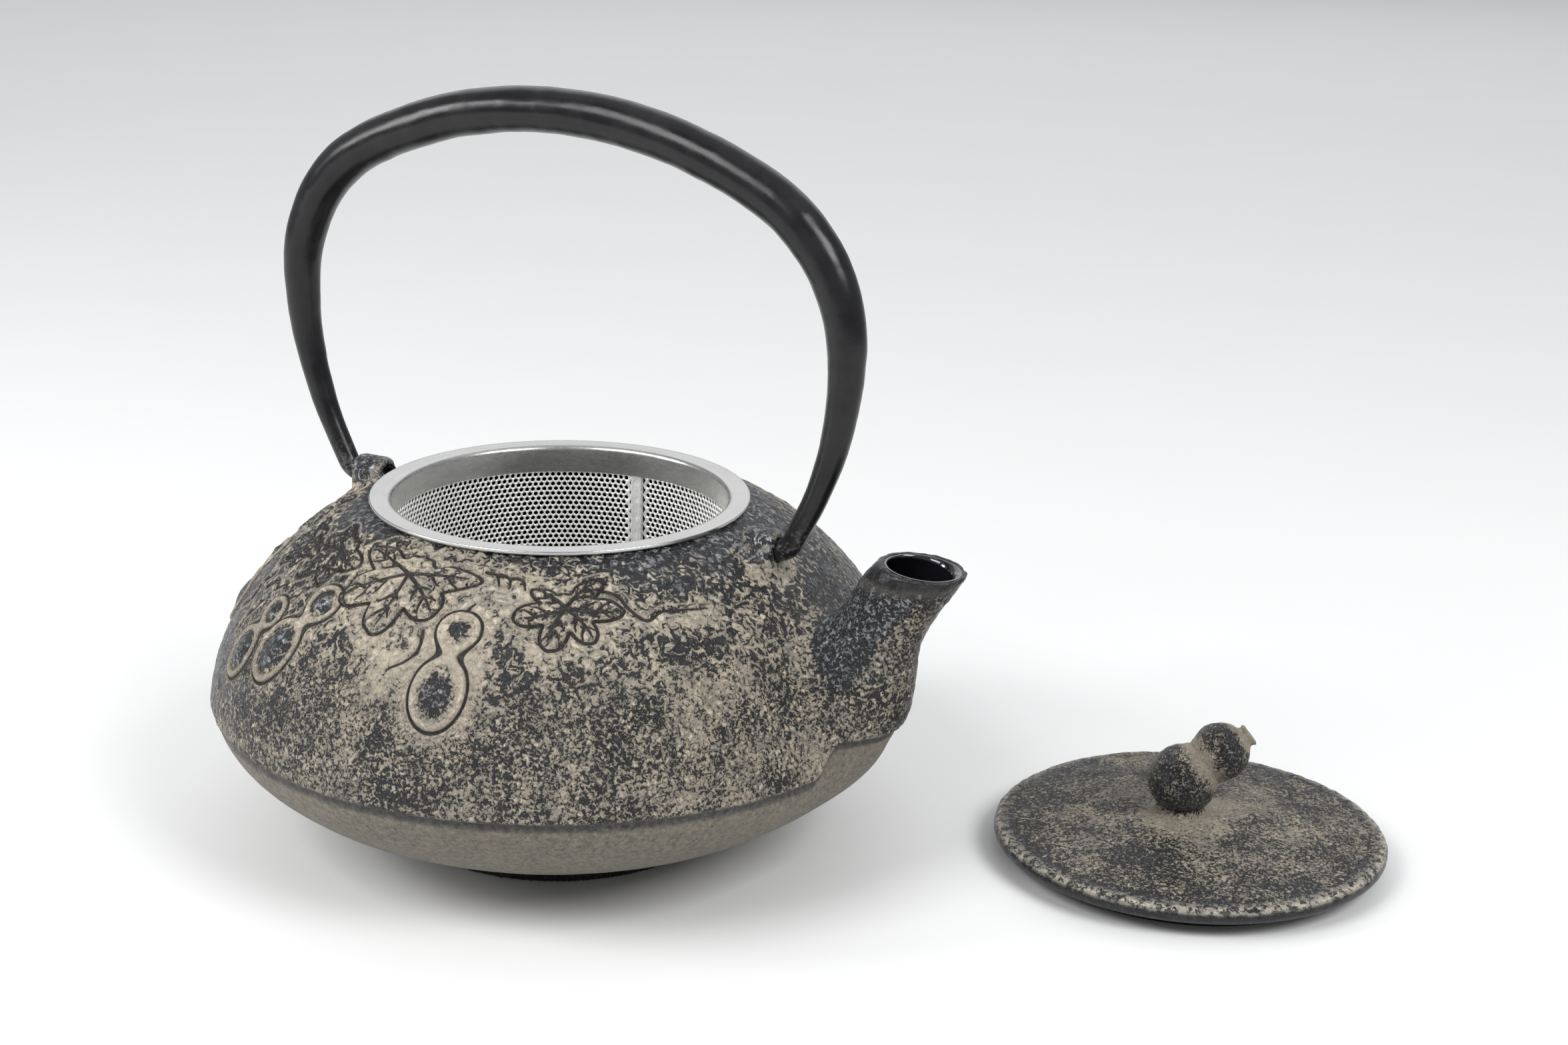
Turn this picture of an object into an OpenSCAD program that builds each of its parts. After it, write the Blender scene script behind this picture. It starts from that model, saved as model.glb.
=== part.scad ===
// Cast-iron teapot with a strainer basket in its mouth, a folding bail handle,
// and its lid with a gourd knob lying beside it.
// Millimetres. +Z is up, +X runs from the pot's axis to the spout,
// and the origin is the centre of the pot's flat base.

/* [Pot] */
// Largest radius of the pot, at the line where the two mould halves meet
body_r = 73.9; // [70:0.1:76]
// Height of that parting line above the base
parting_z = 30.5; // [29:0.1:32]
// How far the shoulder curve rises above the parting line
shoulder_rise = 48.1; // [47:0.1:49]
// How far the belly curve drops below the parting line
belly_drop = 30.6; // [30:0.1:32]
// How far the smooth belly stands back from the textured shoulder
parting_step = 0.7; // [0.3:0.1:1.2]
// Radius of the flat base that the pot stands on
foot_r = 34.4; // [32:0.1:34.5]
// Thickness of the cast wall
wall = 3.4; // [3:0.1:4]
// Thickness of the enamel coat inside the casting
enamel_t = 0.4; // [0.3:0.05:0.6]
// Height of the mouth's seat, where the basket's flange rests
seat_z = 73.1; // [72:0.1:74]
// Clear radius of the mouth, inside the enamel
mouth_r = 37; // [36.9:0.1:37.3]
// Outer radius of the mouth's rim
neck_r = 39.4; // [39.2:0.1:39.8]

/* [Spout] */
// Radius of the spout where it swells out of the body
spout_bulb_r = 12.6; // [11:0.1:13.5]
// Radius of the spout's narrow neck
spout_neck_r = 8.2; // [7.5:0.1:9]
// Distance from the pot's axis to the centre of the spout's mouth
spout_reach = 84.7; // [82:0.1:88]
// Height of the centre of the spout's mouth
spout_top = 72.5; // [70:0.1:75]
// Wall thickness of the spout
spout_wall = 2; // [1.6:0.1:2.6]
// Tilt of the spout's mouth, lower at the pouring lip, in degrees
lip_tilt = 5.4; // [0:0.1:10]

/* [Bail] */
// Height of the axis that the bail turns on
pivot_z = 70.3; // [70:0.1:71]
// Height of the bail's centreline at its crown
crown_z = 154.3; // [150:0.1:158]
// Radius of the bar at the grip
grip_r = 4.7; // [4:0.1:5]
// Radius of the hooked ends that turn in the lugs
hook_r = 2.3; // [2:0.1:2.4]
// Radius of the eye in each lug
eye_r = 2.6; // [2.6:0.1:2.8]
// Distance from the pot's axis to the middle of each lug
lug_x = 49.3; // [49:0.1:49.8]

/* [Basket] */
// Outer radius of the flange
flange_r = 40; // [39.6:0.1:41]
// Thickness of the flange
flange_t = 0.9; // [0.7:0.1:1.2]
// Inner radius of the collar, which the lid's ring enters
collar_r = 35.4; // [35.2:0.1:35.5]
// Depth of the collar below the flange's top face
collar_h = 6; // [5:0.1:8]
// Sheet thickness of the collar and the perforated wall
sheet_t = 0.4; // [0.3:0.05:0.45]
// Depth of the whole basket below the seat
basket_h = 49.5; // [40:0.5:52]
// Width of the lap seam down the perforated wall
seam_w = 3; // [2:0.5:5]

/* [Lid] */
// Where the lid lies on the table, along X
lid_x = 125.8; // [124:0.1:140]
// Where the lid lies on the table, along Y
lid_y = 51.6; // [51:0.1:70]
// Radius of the lid
lid_r = 41.7; // [41:0.1:43]
// Outer radius of the ring that drops into the collar
lid_ring_r = 34.8; // [34.5:0.1:35]
// Depth of that ring below the plate
lid_ring_h = 3.4; // [2.5:0.1:4.5]
// Height of the lid's dome at its middle, above the table
dome_z = 9.9; // [9:0.1:11]

/* [Knob] */
// Radius of the gourd's lower bulb
bulb_r = 7.4; // [7.2:0.1:7.6]
// Radius of the gourd's upper bulb
upper_r = 6.2; // [6:0.1:6.4]
// Distance between the centres of the two bulbs
bulb_gap = 9.8; // [9.6:0.1:10]
// How far the gourd leans over, from upright, in degrees
gourd_lean = 52; // [40:1:56]
// Direction the gourd leans in, anticlockwise from +X, in degrees
gourd_turn = 33; // [0:1:360]

/* [Hidden] */

$fn = 96;
bite = 1;                       // overlap that makes two solids join or a cut run clean
shoulder_n = 1.714;             // exponents of the shoulder curve
shoulder_m = 2.6;
belly_n = 1.8;                  // exponents of the belly curve
belly_m = 2;
foot_h = 3.9;                   // height at which the belly meets the foot
floor_z = 4.2;                  // height of the casting's inner floor
curve_steps = 16;               // straight steps along each half of the pot's outline
flange_z = seat_z + flange_t;   // top face of the basket's flange
wall_r = collar_r + 2 * sheet_t;
base_z = seat_z - basket_h;     // underside of the basket
crimp_t = 0.35;                 // sheet thickness of the basket's bottom ring
edge_r = 1.6;                   // rounding of the lid's rim
plate_t = 3.2;                  // thickness of the lid's plate
ring_t = 3;                     // thickness of the lid's ring
stud_r = 1.6;                   // radius of the stud that holds the knob
washer_t = 0.8;                 // thickness of the washer under the lid
washer_r = 4.2;
pin_gap = 0.05;                 // clearance of the stud in the washer and the plate
under_z = dome_z - plate_t;     // underside of the lid's plate at its middle
washer_z = under_z - washer_t - 0.12;  // underside of the washer, which clears the plate's curve
bulb_z = dome_z + bulb_r + 0.3; // height of the lower bulb's centre
bulb_back = 2.2;                // how far the lower bulb stands back from the stud

iron = "#4a453d";
worn_iron = "#6b6458";
black_iron = "#1c1b1b";
enamel_black = "#0c0c0e";
steel = "#c9cbc9";
bright_steel = "#e2e4e2";
mild_steel = "#5e5c58";

// 0 below 0, 1 above 1, and a smooth step between
function smooth(x) = let(c = min(1, max(0, x))) c * c * (3 - 2 * c);

// Radius at the share t of a curve's height, from r at its start to 0 at t = 1
function swell(r, t, n, m) = r * pow(1 - pow(t, n), 1 / m);

// The share of a curve's height at which its radius has shrunk to the share q
function share_at(q, n, m) = pow(1 - pow(q, m), 1 / n);

// Shoulder of the pot from the parting line up to the share t1, drawn inset into the wall
function shoulder(inset, t1) = [
    for (i = [0 : curve_steps])
        let(t = t1 * i / curve_steps)
        [swell(body_r - inset, t, shoulder_n, shoulder_m), parting_z + t * (shoulder_rise - inset)]
];

// Belly of the pot from the height z0 up to the parting line, drawn inset into the wall
function belly(inset, z0) = [
    for (i = [curve_steps : -1 : 1])
        let(drop = belly_drop - inset, t = (parting_z - z0) / drop * i / curve_steps)
        [swell(body_r - parting_step - inset, t, belly_n, belly_m), parting_z - t * drop]
];

// Point, rings and faces of a tube: each ring is [centre, normal's angle from Z, in-plane half, cross half]
function ring_points(ring, sides) = [
    for (k = [0 : sides - 1])
        let(a = 360 * k / sides, p = ring[0], tilt = ring[1])
        [p.x + ring[2] * cos(a) * cos(tilt), ring[3] * sin(a), p.y - ring[2] * cos(a) * sin(tilt)]
];

module tube(rings, sides) {
    last = len(rings) - 1;
    polyhedron(
        points = [for (ring = rings) each ring_points(ring, sides)],
        faces = [
            [for (k = [0 : sides - 1]) k],
            for (i = [0 : last - 1], k = [0 : sides - 1])
                let(a = i * sides + k, b = i * sides + (k + 1) % sides)
                each [[a, a + sides, b], [b, a + sides, b + sides]],
            [for (k = [sides - 1 : -1 : 0]) last * sides + k]
        ]
    );
}

// Centreline of the spout, a cubic curve from inside the body to the mouth
spout_path = [[58, 36], [74, 38], [69.5, 54], [spout_reach, spout_top]];

function spout_at(t) = let(u = 1 - t)
    u * u * u * spout_path[0] + 3 * u * u * t * spout_path[1]
    + 3 * u * t * t * spout_path[2] + t * t * t * spout_path[3];

function spout_run(t) = let(u = 1 - t)
    u * u * (spout_path[1] - spout_path[0]) + 2 * u * t * (spout_path[2] - spout_path[1])
    + t * t * (spout_path[3] - spout_path[2]);

// Rings of the spout, drawn inset into its wall. The last ones turn level for the mouth
function spout_rings(inset) = [
    for (t = [0 : 1 / 14 : 1.0001])
        let(d = spout_run(t), mouth = smooth((t - 0.72) / 0.28))
        let(r = spout_neck_r + (spout_bulb_r - spout_neck_r) * (1 - smooth((t - 0.35) / 0.5)))
        let(tilt = atan2(d.x, d.y) * (1 - mouth) + lip_tilt * mouth)
        [spout_at(t), tilt, r + mouth - inset, r + 0.3 * mouth - inset]
];

// The same bore carried on past the mouth, so that it cuts clean
function spout_bore(inset) =
    let(rings = spout_rings(inset), end = rings[len(rings) - 1])
    let(past = end[0] + 3 * [sin(end[1]), cos(end[1])])
    [each rings, [past, end[1], end[2], end[3]]];

// Space inside the pot, shrunk by inset from the casting's inner wall
module cavity(inset) {
    skin = wall + inset;
    bore = mouth_r + enamel_t - inset;
    top = share_at(bore / (body_r - skin), shoulder_n, shoulder_m);
    rotate([0, 0, 90])
        rotate_extrude()
            polygon([
                [0, floor_z + inset],
                each belly(skin, floor_z + inset),
                each shoulder(skin, top),
                [bore, seat_z + bite],
                [0, seat_z + bite]
            ]);
    tube(spout_bore(spout_wall + inset), 24);
}

// Mountain-shaped lug, ridged down its two sides, with an eye along X
module lug_blank() {
    intersection() {
        translate([lug_x, 0, 0])
            rotate([90, 0, 90])
                linear_extrude(height = 10, center = true) {
                    translate([0, pivot_z]) circle(r = eye_r + 1.5);
                    polygon([[-9, 60], [9, 60], [3.9, pivot_z + 1.3], [-3.9, pivot_z + 1.3]]);
                }
        translate([lug_x, 0, 58])
            linear_extrude(height = 20)
                polygon([[3.2, -2.4], [3.2, 2.4], [0, 8.2], [-3.2, 2.4], [-3.2, -2.4], [0, -8.2]]);
    }
}

module pot_body() {
    rim = share_at(neck_r / body_r, shoulder_n, shoulder_m);
    color(iron)
        difference() {
            union() {
                rotate_extrude()
                    polygon([
                        [0, 0],
                        [foot_r, 0],
                        each belly(0, foot_h),
                        each shoulder(0, rim),
                        [neck_r, seat_z],
                        [0, seat_z]
                    ]);
                tube(spout_rings(0), 24);
                lug_blank();
                mirror([1, 0, 0]) lug_blank();
            }
            cavity(0);
            for (side = [-1, 1])
                translate([side * lug_x, 0, pivot_z])
                    rotate([0, 90, 0])
                        cylinder(r = eye_r, h = 7, center = true);
        }
}

// Coat of enamel over the whole inside of the casting and the spout, ending just short of the lip
module enamel_lining() {
    end = spout_at(1);
    color(enamel_black)
        difference() {
            cavity(0);
            cavity(enamel_t);
            translate([0, 0, seat_z]) cylinder(r = 50, h = 10);
            translate([end.x, 0, end.y])
                rotate([0, lip_tilt, 0])
                    translate([-15, -15, -0.25]) cube([30, 30, 10]);
        }
}

// The bail's centreline is a chain of arcs that all turn the same way.
// A heading is the angle turned so far, from level at the crown
crown_arc = 105;    // radius of the crown
shoulder_arc = 34.5;
leg_arc = 75;
elbow_arc = 4.2;
crown_end = 27;     // headings at which one arc gives way to the next
shoulder_end = 90;
leg_end = 117;
hook_start = 180;

function arc_at(centre, radius, heading) = centre + radius * [sin(heading), cos(heading)];

crown_c = [0, crown_z - crown_arc];
shoulder_c = arc_at(crown_c, crown_arc - shoulder_arc, crown_end);
leg_c = arc_at(shoulder_c, shoulder_arc - leg_arc, shoulder_end);
leg_foot = arc_at(leg_c, leg_arc, leg_end);
straight = (leg_foot.y - pivot_z - elbow_arc * (1 + cos(leg_end))) / sin(leg_end);
elbow_c = leg_foot + straight * [cos(leg_end), -sin(leg_end)] - elbow_arc * [sin(leg_end), cos(leg_end)];
hook_x = elbow_c.x;             // where the level hook begins
hook_tip = lug_x - 2.1;         // where it ends, inside the lug's eye

// Half of the bail from the crown to the hook, as [point, heading]
bail_half = [
    for (a = [0 : 4.5 : crown_end - 1]) [arc_at(crown_c, crown_arc, a), a],
    for (a = [crown_end : 9 : shoulder_end - 1]) [arc_at(shoulder_c, shoulder_arc, a), a],
    for (a = [shoulder_end : 9 : leg_end]) [arc_at(leg_c, leg_arc, a), a],
    for (a = [leg_end : 15.75 : hook_start]) [arc_at(elbow_c, elbow_arc, a), a]
];

// The bar is full at the grip and thins towards its hooks
function bar_r(z) = hook_r + (grip_r - hook_r) * smooth((z - 68) / 74);

module handle_bail() {
    count = len(bail_half) - 1;
    path = [
        for (i = [count : -1 : 1]) [[-bail_half[i][0].x, bail_half[i][0].y], -bail_half[i][1]],
        for (i = [0 : count]) bail_half[i]
    ];
    color(black_iron) {
        tube([for (p = path) [p[0], p[1] + 90, bar_r(p[0].y), bar_r(p[0].y)]], 16);
        for (side = [-1, 1])
            translate([side * (hook_x + 0.4 + hook_tip) / 2, 0, pivot_z])
                rotate([0, 90, 0])
                    cylinder(r = hook_r, h = hook_x + 0.4 - hook_tip, center = true);
    }
}

// Flange that rests on the mouth, turned down over a round edge into the collar
module infuser_rim() {
    round_r = 0.8;
    color(bright_steel)
        rotate_extrude()
            polygon([
                [collar_r + sheet_t, seat_z],
                [flange_r, seat_z],
                [flange_r, flange_z - 0.2],
                [flange_r - 0.2, flange_z],
                for (a = [90 : 22.5 : 180])
                    [collar_r + round_r + round_r * cos(a), flange_z - round_r + round_r * sin(a)],
                [collar_r, flange_z - collar_h],
                [collar_r + sheet_t, flange_z - collar_h]
            ]);
}

// Perforated sheet rolled into a tube, lapped along one seam
module infuser_wall() {
    color(steel)
        difference() {
            union() {
                translate([0, 0, base_z + crimp_t])
                    cylinder(r = wall_r, h = seat_z - 2.2 - base_z - crimp_t);
                intersection() {
                    translate([0, 0, base_z + 6])
                        cylinder(r = wall_r + 0.35, h = seat_z - 2.2 - base_z - 6);
                    rotate([0, 0, 95])
                        translate([30, -seam_w / 2, base_z]) cube([10, seam_w, 60]);
                }
            }
            translate([0, 0, base_z - bite])
                cylinder(r = wall_r - sheet_t, h = basket_h + 2 * bite);
        }
}

// Perforated disc that closes the basket
module infuser_base() {
    color(steel)
        translate([0, 0, base_z + crimp_t])
            cylinder(r = wall_r - sheet_t - 0.05, h = sheet_t);
}

// Ring crimped round the bottom of the wall, which holds the disc to it
module infuser_base_ring() {
    color(bright_steel)
        rotate_extrude()
            polygon([
                [wall_r - 3, base_z],
                [wall_r, base_z],
                [wall_r + crimp_t, base_z + crimp_t],
                [wall_r + crimp_t, base_z + 3.6],
                [wall_r, base_z + 3.6],
                [wall_r, base_z + crimp_t],
                [wall_r - 3, base_z + crimp_t]
            ]);
}

// Height of the lid's top face at the radius r
function dome(r) = let(rim = lid_ring_h + 2 * edge_r) rim + (dome_z - rim) * (1 - pow(r / lid_r, 1.6));

module lid_shape(thick) {
    rim_r = lid_r - edge_r;
    rotate_extrude()
        polygon([
            [0, thick ? 0 : under_z],
            if (!thick) for (r = [8 : 8 : 24]) [r, dome(r) - plate_t],
            if (!thick) [lid_ring_r - ring_t, lid_ring_h + 0.4],
            if (!thick) [lid_ring_r - ring_t, 0],
            [lid_ring_r, 0],
            [lid_ring_r, lid_ring_h],
            for (a = [-90 : 22.5 : 67.5])
                [rim_r + edge_r * cos(a), lid_ring_h + edge_r + edge_r * sin(a)],
            for (r = [rim_r - 1 : -6.5 : 5]) [r, dome(r)],
            [0, dome_z]
        ]);
}

// Domed plate with a rounded rim and the ring that drops into the basket's collar
module lid_plate() {
    color(worn_iron)
        translate([lid_x, lid_y, 0])
            difference() {
                lid_shape(false);
                translate([0, 0, -bite]) cylinder(r = stud_r + pin_gap, h = 20);
            }
}

// Gourd with two bulbs and a cut stem, leaning over on a small foot
module lid_knob() {
    color(black_iron)
        translate([lid_x, lid_y, 0])
            difference() {
                rotate([0, 0, gourd_turn])
                    translate([-bulb_back, 0, bulb_z]) {
                        rotate([0, gourd_lean, 0])
                            rotate_extrude()
                                polygon([
                                    for (a = [-90 : 10 : 40]) [bulb_r * cos(a), bulb_r * sin(a)],
                                    [4.85, 5.8],
                                    for (a = [-30 : 10 : 50])
                                        [upper_r * cos(a), bulb_gap + upper_r * sin(a)],
                                    [2.5, bulb_gap + 5.6],
                                    [2.7, bulb_gap + 7],
                                    [0, bulb_gap + 7.3]
                                ]);
                        translate([0, 0, -bulb_r - 1.3]) cylinder(r1 = 6.6, r2 = 4.6, h = 4);
                    }
                lid_shape(true);
                cylinder(r = stud_r, h = bulb_z);
            }
}

// Stud cast into the knob, peened over beneath the lid
module knob_stud() {
    head_z = washer_z;
    color(mild_steel)
        translate([lid_x, lid_y, 0]) {
            translate([0, 0, head_z]) cylinder(r = stud_r, h = bulb_z - head_z);
            rotate_extrude()
                polygon([
                    [0, head_z - 1.1],
                    for (a = [-70 : 17.5 : 0]) [2.9 * cos(a), head_z + 1.1 * sin(a)],
                    [0, head_z]
                ]);
        }
}

module knob_washer() {
    color(steel)
        translate([lid_x, lid_y, washer_z])
            difference() {
                cylinder(r = washer_r, h = washer_t);
                translate([0, 0, -bite]) cylinder(r = stud_r + pin_gap, h = washer_t + 2 * bite);
            }
}

pot_body();
enamel_lining();
handle_bail();
infuser_rim();
infuser_wall();
infuser_base();
infuser_base_ring();
lid_plate();
lid_knob();
knob_stud();
knob_washer();
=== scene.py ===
import contextlib
import math

import bmesh
import bpy
import numpy as np
from mathutils import Matrix, Vector


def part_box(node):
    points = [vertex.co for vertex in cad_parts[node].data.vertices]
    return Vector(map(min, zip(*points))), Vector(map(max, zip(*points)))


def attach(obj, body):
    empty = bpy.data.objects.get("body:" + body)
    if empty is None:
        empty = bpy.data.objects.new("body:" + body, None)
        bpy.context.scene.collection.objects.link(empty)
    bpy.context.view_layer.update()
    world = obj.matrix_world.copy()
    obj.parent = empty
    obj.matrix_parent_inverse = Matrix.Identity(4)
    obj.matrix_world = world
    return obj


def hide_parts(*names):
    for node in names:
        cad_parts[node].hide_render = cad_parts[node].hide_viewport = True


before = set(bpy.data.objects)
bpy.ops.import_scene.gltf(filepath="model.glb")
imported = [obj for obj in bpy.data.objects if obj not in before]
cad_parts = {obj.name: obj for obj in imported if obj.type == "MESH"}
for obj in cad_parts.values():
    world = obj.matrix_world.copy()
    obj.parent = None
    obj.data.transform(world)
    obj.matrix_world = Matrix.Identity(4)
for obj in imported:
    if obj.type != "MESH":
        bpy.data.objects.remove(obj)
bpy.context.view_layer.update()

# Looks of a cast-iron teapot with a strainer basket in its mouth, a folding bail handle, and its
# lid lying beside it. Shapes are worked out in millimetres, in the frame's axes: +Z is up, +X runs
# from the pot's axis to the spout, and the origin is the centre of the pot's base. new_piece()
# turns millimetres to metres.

MM = 0.001


def node_box(name):
    """Lowest and highest corner of a CAD node, in millimetres."""
    low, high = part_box(name)
    return np.array(low) / MM, np.array(high) / MM


# ---- Sizes, in millimetres ----

pot_low, pot_high = node_box("pot_body")
rim_low, rim_high = node_box("infuser_rim")
sheet_low, sheet_high = node_box("infuser_wall")
ring_low = node_box("infuser_base_ring")[0]
lid_low, lid_high = node_box("lid_plate")
bail_high = node_box("handle_bail")[1]

BODY_R = -pot_low[0]          # the pot's largest radius, at the parting line
PARTING_Z = 30.5              # height of the line where the two mould halves meet
PARTING_STEP = 0.7            # how far the smooth belly stands back from the textured shoulder
SHOULDER_RISE = 48.1          # from the parting line to where the shoulder's curve would close
BELLY_DROP = 30.6             # from the parting line to where the belly's curve would close
SHOULDER_POWERS = (1.714, 2.6)    # exponents of the two curves
BELLY_POWERS = (1.8, 2.0)
FOOT_R = 34.4
FOOT_H = 3.9
WALL = 3.4                    # thickness of the casting
ENAMEL = 0.4                  # thickness of the coat inside it
FLOOR_Z = 4.2                 # height of the casting's inner floor
COLLAR_DROP = 5.1             # how far the collar reaches down past the mouth's seat
SEAT_Z = rim_low[2] + COLLAR_DROP
MOUTH_R = 37.0

SPOUT_PATH = np.array([(58, 36), (74, 38), (69.5, 54), (84.7, 72.5)], float)    # Bezier, (x, z)
SPOUT_BULB_R = 12.6
SPOUT_NECK_R = 8.2
SPOUT_WALL = 2.0
LIP_ROUND = 1.3               # how far the bore opens out at the lip
LIP_TILT = math.radians(5.4)
SPOUT_FILLET = 8.0            # how widely the spout blends into the body

PIVOT_Z = 70.3                # height of the axis that the bail turns on
LUG_X = 49.3
EYE_R = 2.6
LUG_TOP_R = 4.1               # radius of the arch over the eye
LUG_HALF_T = 3.2              # from the middle of a lug to the face that the bail's elbow is beside
LUG_INNER_T = 4.4             # from its middle to the face beside the flange
GRIP_R = 4.7
HOOK_R = 2.3
CROWN_Z = bail_high[2] - GRIP_R

FLANGE_R = rim_high[0]
FLANGE_T = 0.9
FLANGE_Z = rim_high[2]
COLLAR_R = 35.4               # inside the collar
COLLAR_Z = rim_low[2]
SHEET_T = 0.4
WALL_R = -sheet_low[0]
WALL_FOOT, WALL_TOP = sheet_low[2], sheet_high[2]
BASE_Z = ring_low[2]
CRIMP_T = 0.35                # sheet thickness of the basket's bottom ring
SEAM_ANGLE = math.radians(95)
SEAM_W = 3.0
LAP_T = 0.33                  # thickness of the lap's outer strip
SEAM_GAP = 0.9                # the unpunched strip along the seam, seen from inside
HOLE_PITCH = 1.3              # distance between the centres of neighbouring holes
HOLE_R = 0.53                 # from a hole's centre to its corners

LID_X, LID_Y = (lid_low[:2] + lid_high[:2]) / 2
LID_R = (lid_high[0] - lid_low[0]) / 2
LID_TOP = lid_high[2]
LID_EDGE_R = 1.6
LID_RING_R = 34.8
LID_RING_H = 3.4
LID_RING_T = 3.0
LID_PLATE_T = 3.2
STUD_HOLE_R = 1.65
BULB_R = 7.4
UPPER_R = 6.2
BULB_GAP = 9.8
BULB_BACK = 2.2               # how far the lower bulb stands back from the lid's middle
WAIST_H = 5.7                 # height of the waist along the gourd, from the lower bulb's centre
GOURD_LEAN = math.radians(52)
GOURD_TURN = math.radians(33)

# ---- Numbers and noise ----


def smooth(x):
    """0 below 0, 1 above 1, and a smooth step between."""
    x = np.clip(x, 0, 1)
    return x * x * (3 - 2 * x)


def bump(x):
    """1 at 0, falling to nearly 0 beyond 2 on either side."""
    return np.exp(-x * x)


def lattice_noise(points, size, seed):
    """Gradient noise from about -1 to 1, whose bumps are about size across."""
    rng = np.random.default_rng(seed)
    table = rng.permutation(512)
    gradients = rng.normal(size=(512, 3))
    gradients /= np.linalg.norm(gradients, axis=1)[:, None]
    q = points / size
    cell = np.floor(q).astype(np.int64)
    part = q - cell
    fade = part ** 3 * (part * (part * 6 - 15) + 10)
    total = np.zeros(len(points))
    for corner in np.ndindex(2, 2, 2):
        c = cell + corner
        spot = table[(table[(table[c[:, 0] & 511] + c[:, 1]) & 511] + c[:, 2]) & 511]
        weight = np.prod(np.where(np.array(corner) == 1, fade, 1 - fade), axis=1)
        total += weight * np.einsum("ij,ij->i", gradients[spot], part - corner)
    return total * 1.6


def layers(points, *bands):
    """Noises added up. Each band is (size, seed, height)."""
    return sum(lattice_noise(points, size, seed) * height for size, seed, height in bands)


# ---- Meshes ----


def new_piece(name, verts, faces, shade=True):
    """A mesh object from vertices in millimetres."""
    mesh = bpy.data.meshes.new(name)
    mesh.from_pydata((np.asarray(verts, float) * MM).tolist(), [], faces)
    mesh.update()
    obj = bpy.data.objects.new(name, mesh)
    bpy.context.scene.collection.objects.link(obj)
    if shade:
        mesh.shade_smooth()
    return obj


def verts_of(obj):
    """The object's vertices, in millimetres."""
    co = np.zeros(len(obj.data.vertices) * 3)
    obj.data.vertices.foreach_get("co", co)
    return co.reshape(-1, 3) / MM


def set_verts(obj, verts):
    obj.data.vertices.foreach_set("co", (verts * MM).ravel())
    obj.data.update()


def normals_of(obj):
    normals = np.zeros(len(obj.data.vertices) * 3, np.float32)
    obj.data.vertex_normals.foreach_get("vector", normals)
    return normals.reshape(-1, 3).astype(float)


def push_out(obj, amount):
    """Moves each vertex along its normal."""
    set_verts(obj, verts_of(obj) + normals_of(obj) * amount[:, None])


def paint(obj, name, values):
    """Stores one number a vertex, which a material reads by its name."""
    layer = obj.data.attributes.get(name) or obj.data.attributes.new(name, "FLOAT", "POINT")
    layer.data.foreach_set("value", np.asarray(values, np.float32))


def apply_modifiers(obj):
    graph = bpy.context.evaluated_depsgraph_get()
    mesh = bpy.data.meshes.new_from_object(obj.evaluated_get(graph))
    obj.modifiers.clear()
    obj.data = mesh


def combine(obj, tool, operation):
    """Joins, cuts or crosses two closed meshes, and removes the second."""
    modifier = obj.modifiers.new("combine", "BOOLEAN")
    modifier.operation = operation
    modifier.solver = "MANIFOLD"
    modifier.object = tool
    apply_modifiers(obj)
    bpy.data.objects.remove(tool)
    return obj


@contextlib.contextmanager
def editing(obj):
    """The object's mesh, open for bmesh's tools."""
    shape = bmesh.new()
    shape.from_mesh(obj.data)
    yield shape
    shape.to_mesh(obj.data)
    shape.free()


def face_outwards(obj):
    with editing(obj) as shape:
        bmesh.ops.remove_doubles(shape, verts=shape.verts, dist=1e-7)
        bmesh.ops.recalc_face_normals(shape, faces=shape.faces)
    return obj


def soften_edges(obj, angle=30):
    """Smooth shading that stays sharp over edges steeper than angle."""
    obj.data.shade_smooth()
    obj.data.set_sharp_from_angle(angle=math.radians(angle))
    return obj


def grid_faces(rows, columns, closed):
    """Quads between rows of points; closed joins the last column to the first."""
    last = columns if closed else columns - 1
    return [
        (r * columns + c, r * columns + (c + 1) % columns,
         (r + 1) * columns + (c + 1) % columns, (r + 1) * columns + c)
        for r in range(rows - 1) for c in range(last)
    ]


def revolve(name, outline, steps, centre=(0, 0)):
    """Turns an outline of (radius, height) about a vertical axis. A closed outline, or one that starts
    and ends on the axis, makes a closed mesh."""
    outline = np.array(outline, float)
    hollow = outline[0][0] > 0
    if hollow:
        outline = np.vstack([outline, outline[:1]])
    angles = np.arange(steps) * 2 * math.pi / steps
    rings = np.stack([
        centre[0] + outline[:, :1] * np.cos(angles),
        centre[1] + outline[:, :1] * np.sin(angles),
        np.repeat(outline[:, 1:], steps, axis=1),
    ], -1)
    return face_outwards(new_piece(name, rings.reshape(-1, 3), grid_faces(len(outline), steps, True)))


def tube(name, rings, sides):
    """A closed tube through rings, each (centre, one half axis, the other half axis)."""
    angles = np.arange(sides) * 2 * math.pi / sides
    verts = [
        np.array(centre) + np.cos(angles)[:, None] * np.array(u) + np.sin(angles)[:, None] * np.array(v)
        for centre, u, v in rings
    ]
    faces = grid_faces(len(rings), sides, True)
    faces += [tuple(range(sides)), tuple(range((len(rings) - 1) * sides, len(rings) * sides))]
    return face_outwards(new_piece(name, np.concatenate(verts), faces))


def arc(centre, radius, start, end, steps):
    """Points of an arc, with its angles in degrees."""
    return [
        (centre[0] + radius * math.cos(math.radians(a)), centre[1] + radius * math.sin(math.radians(a)))
        for a in np.linspace(start, end, steps)
    ]


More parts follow.
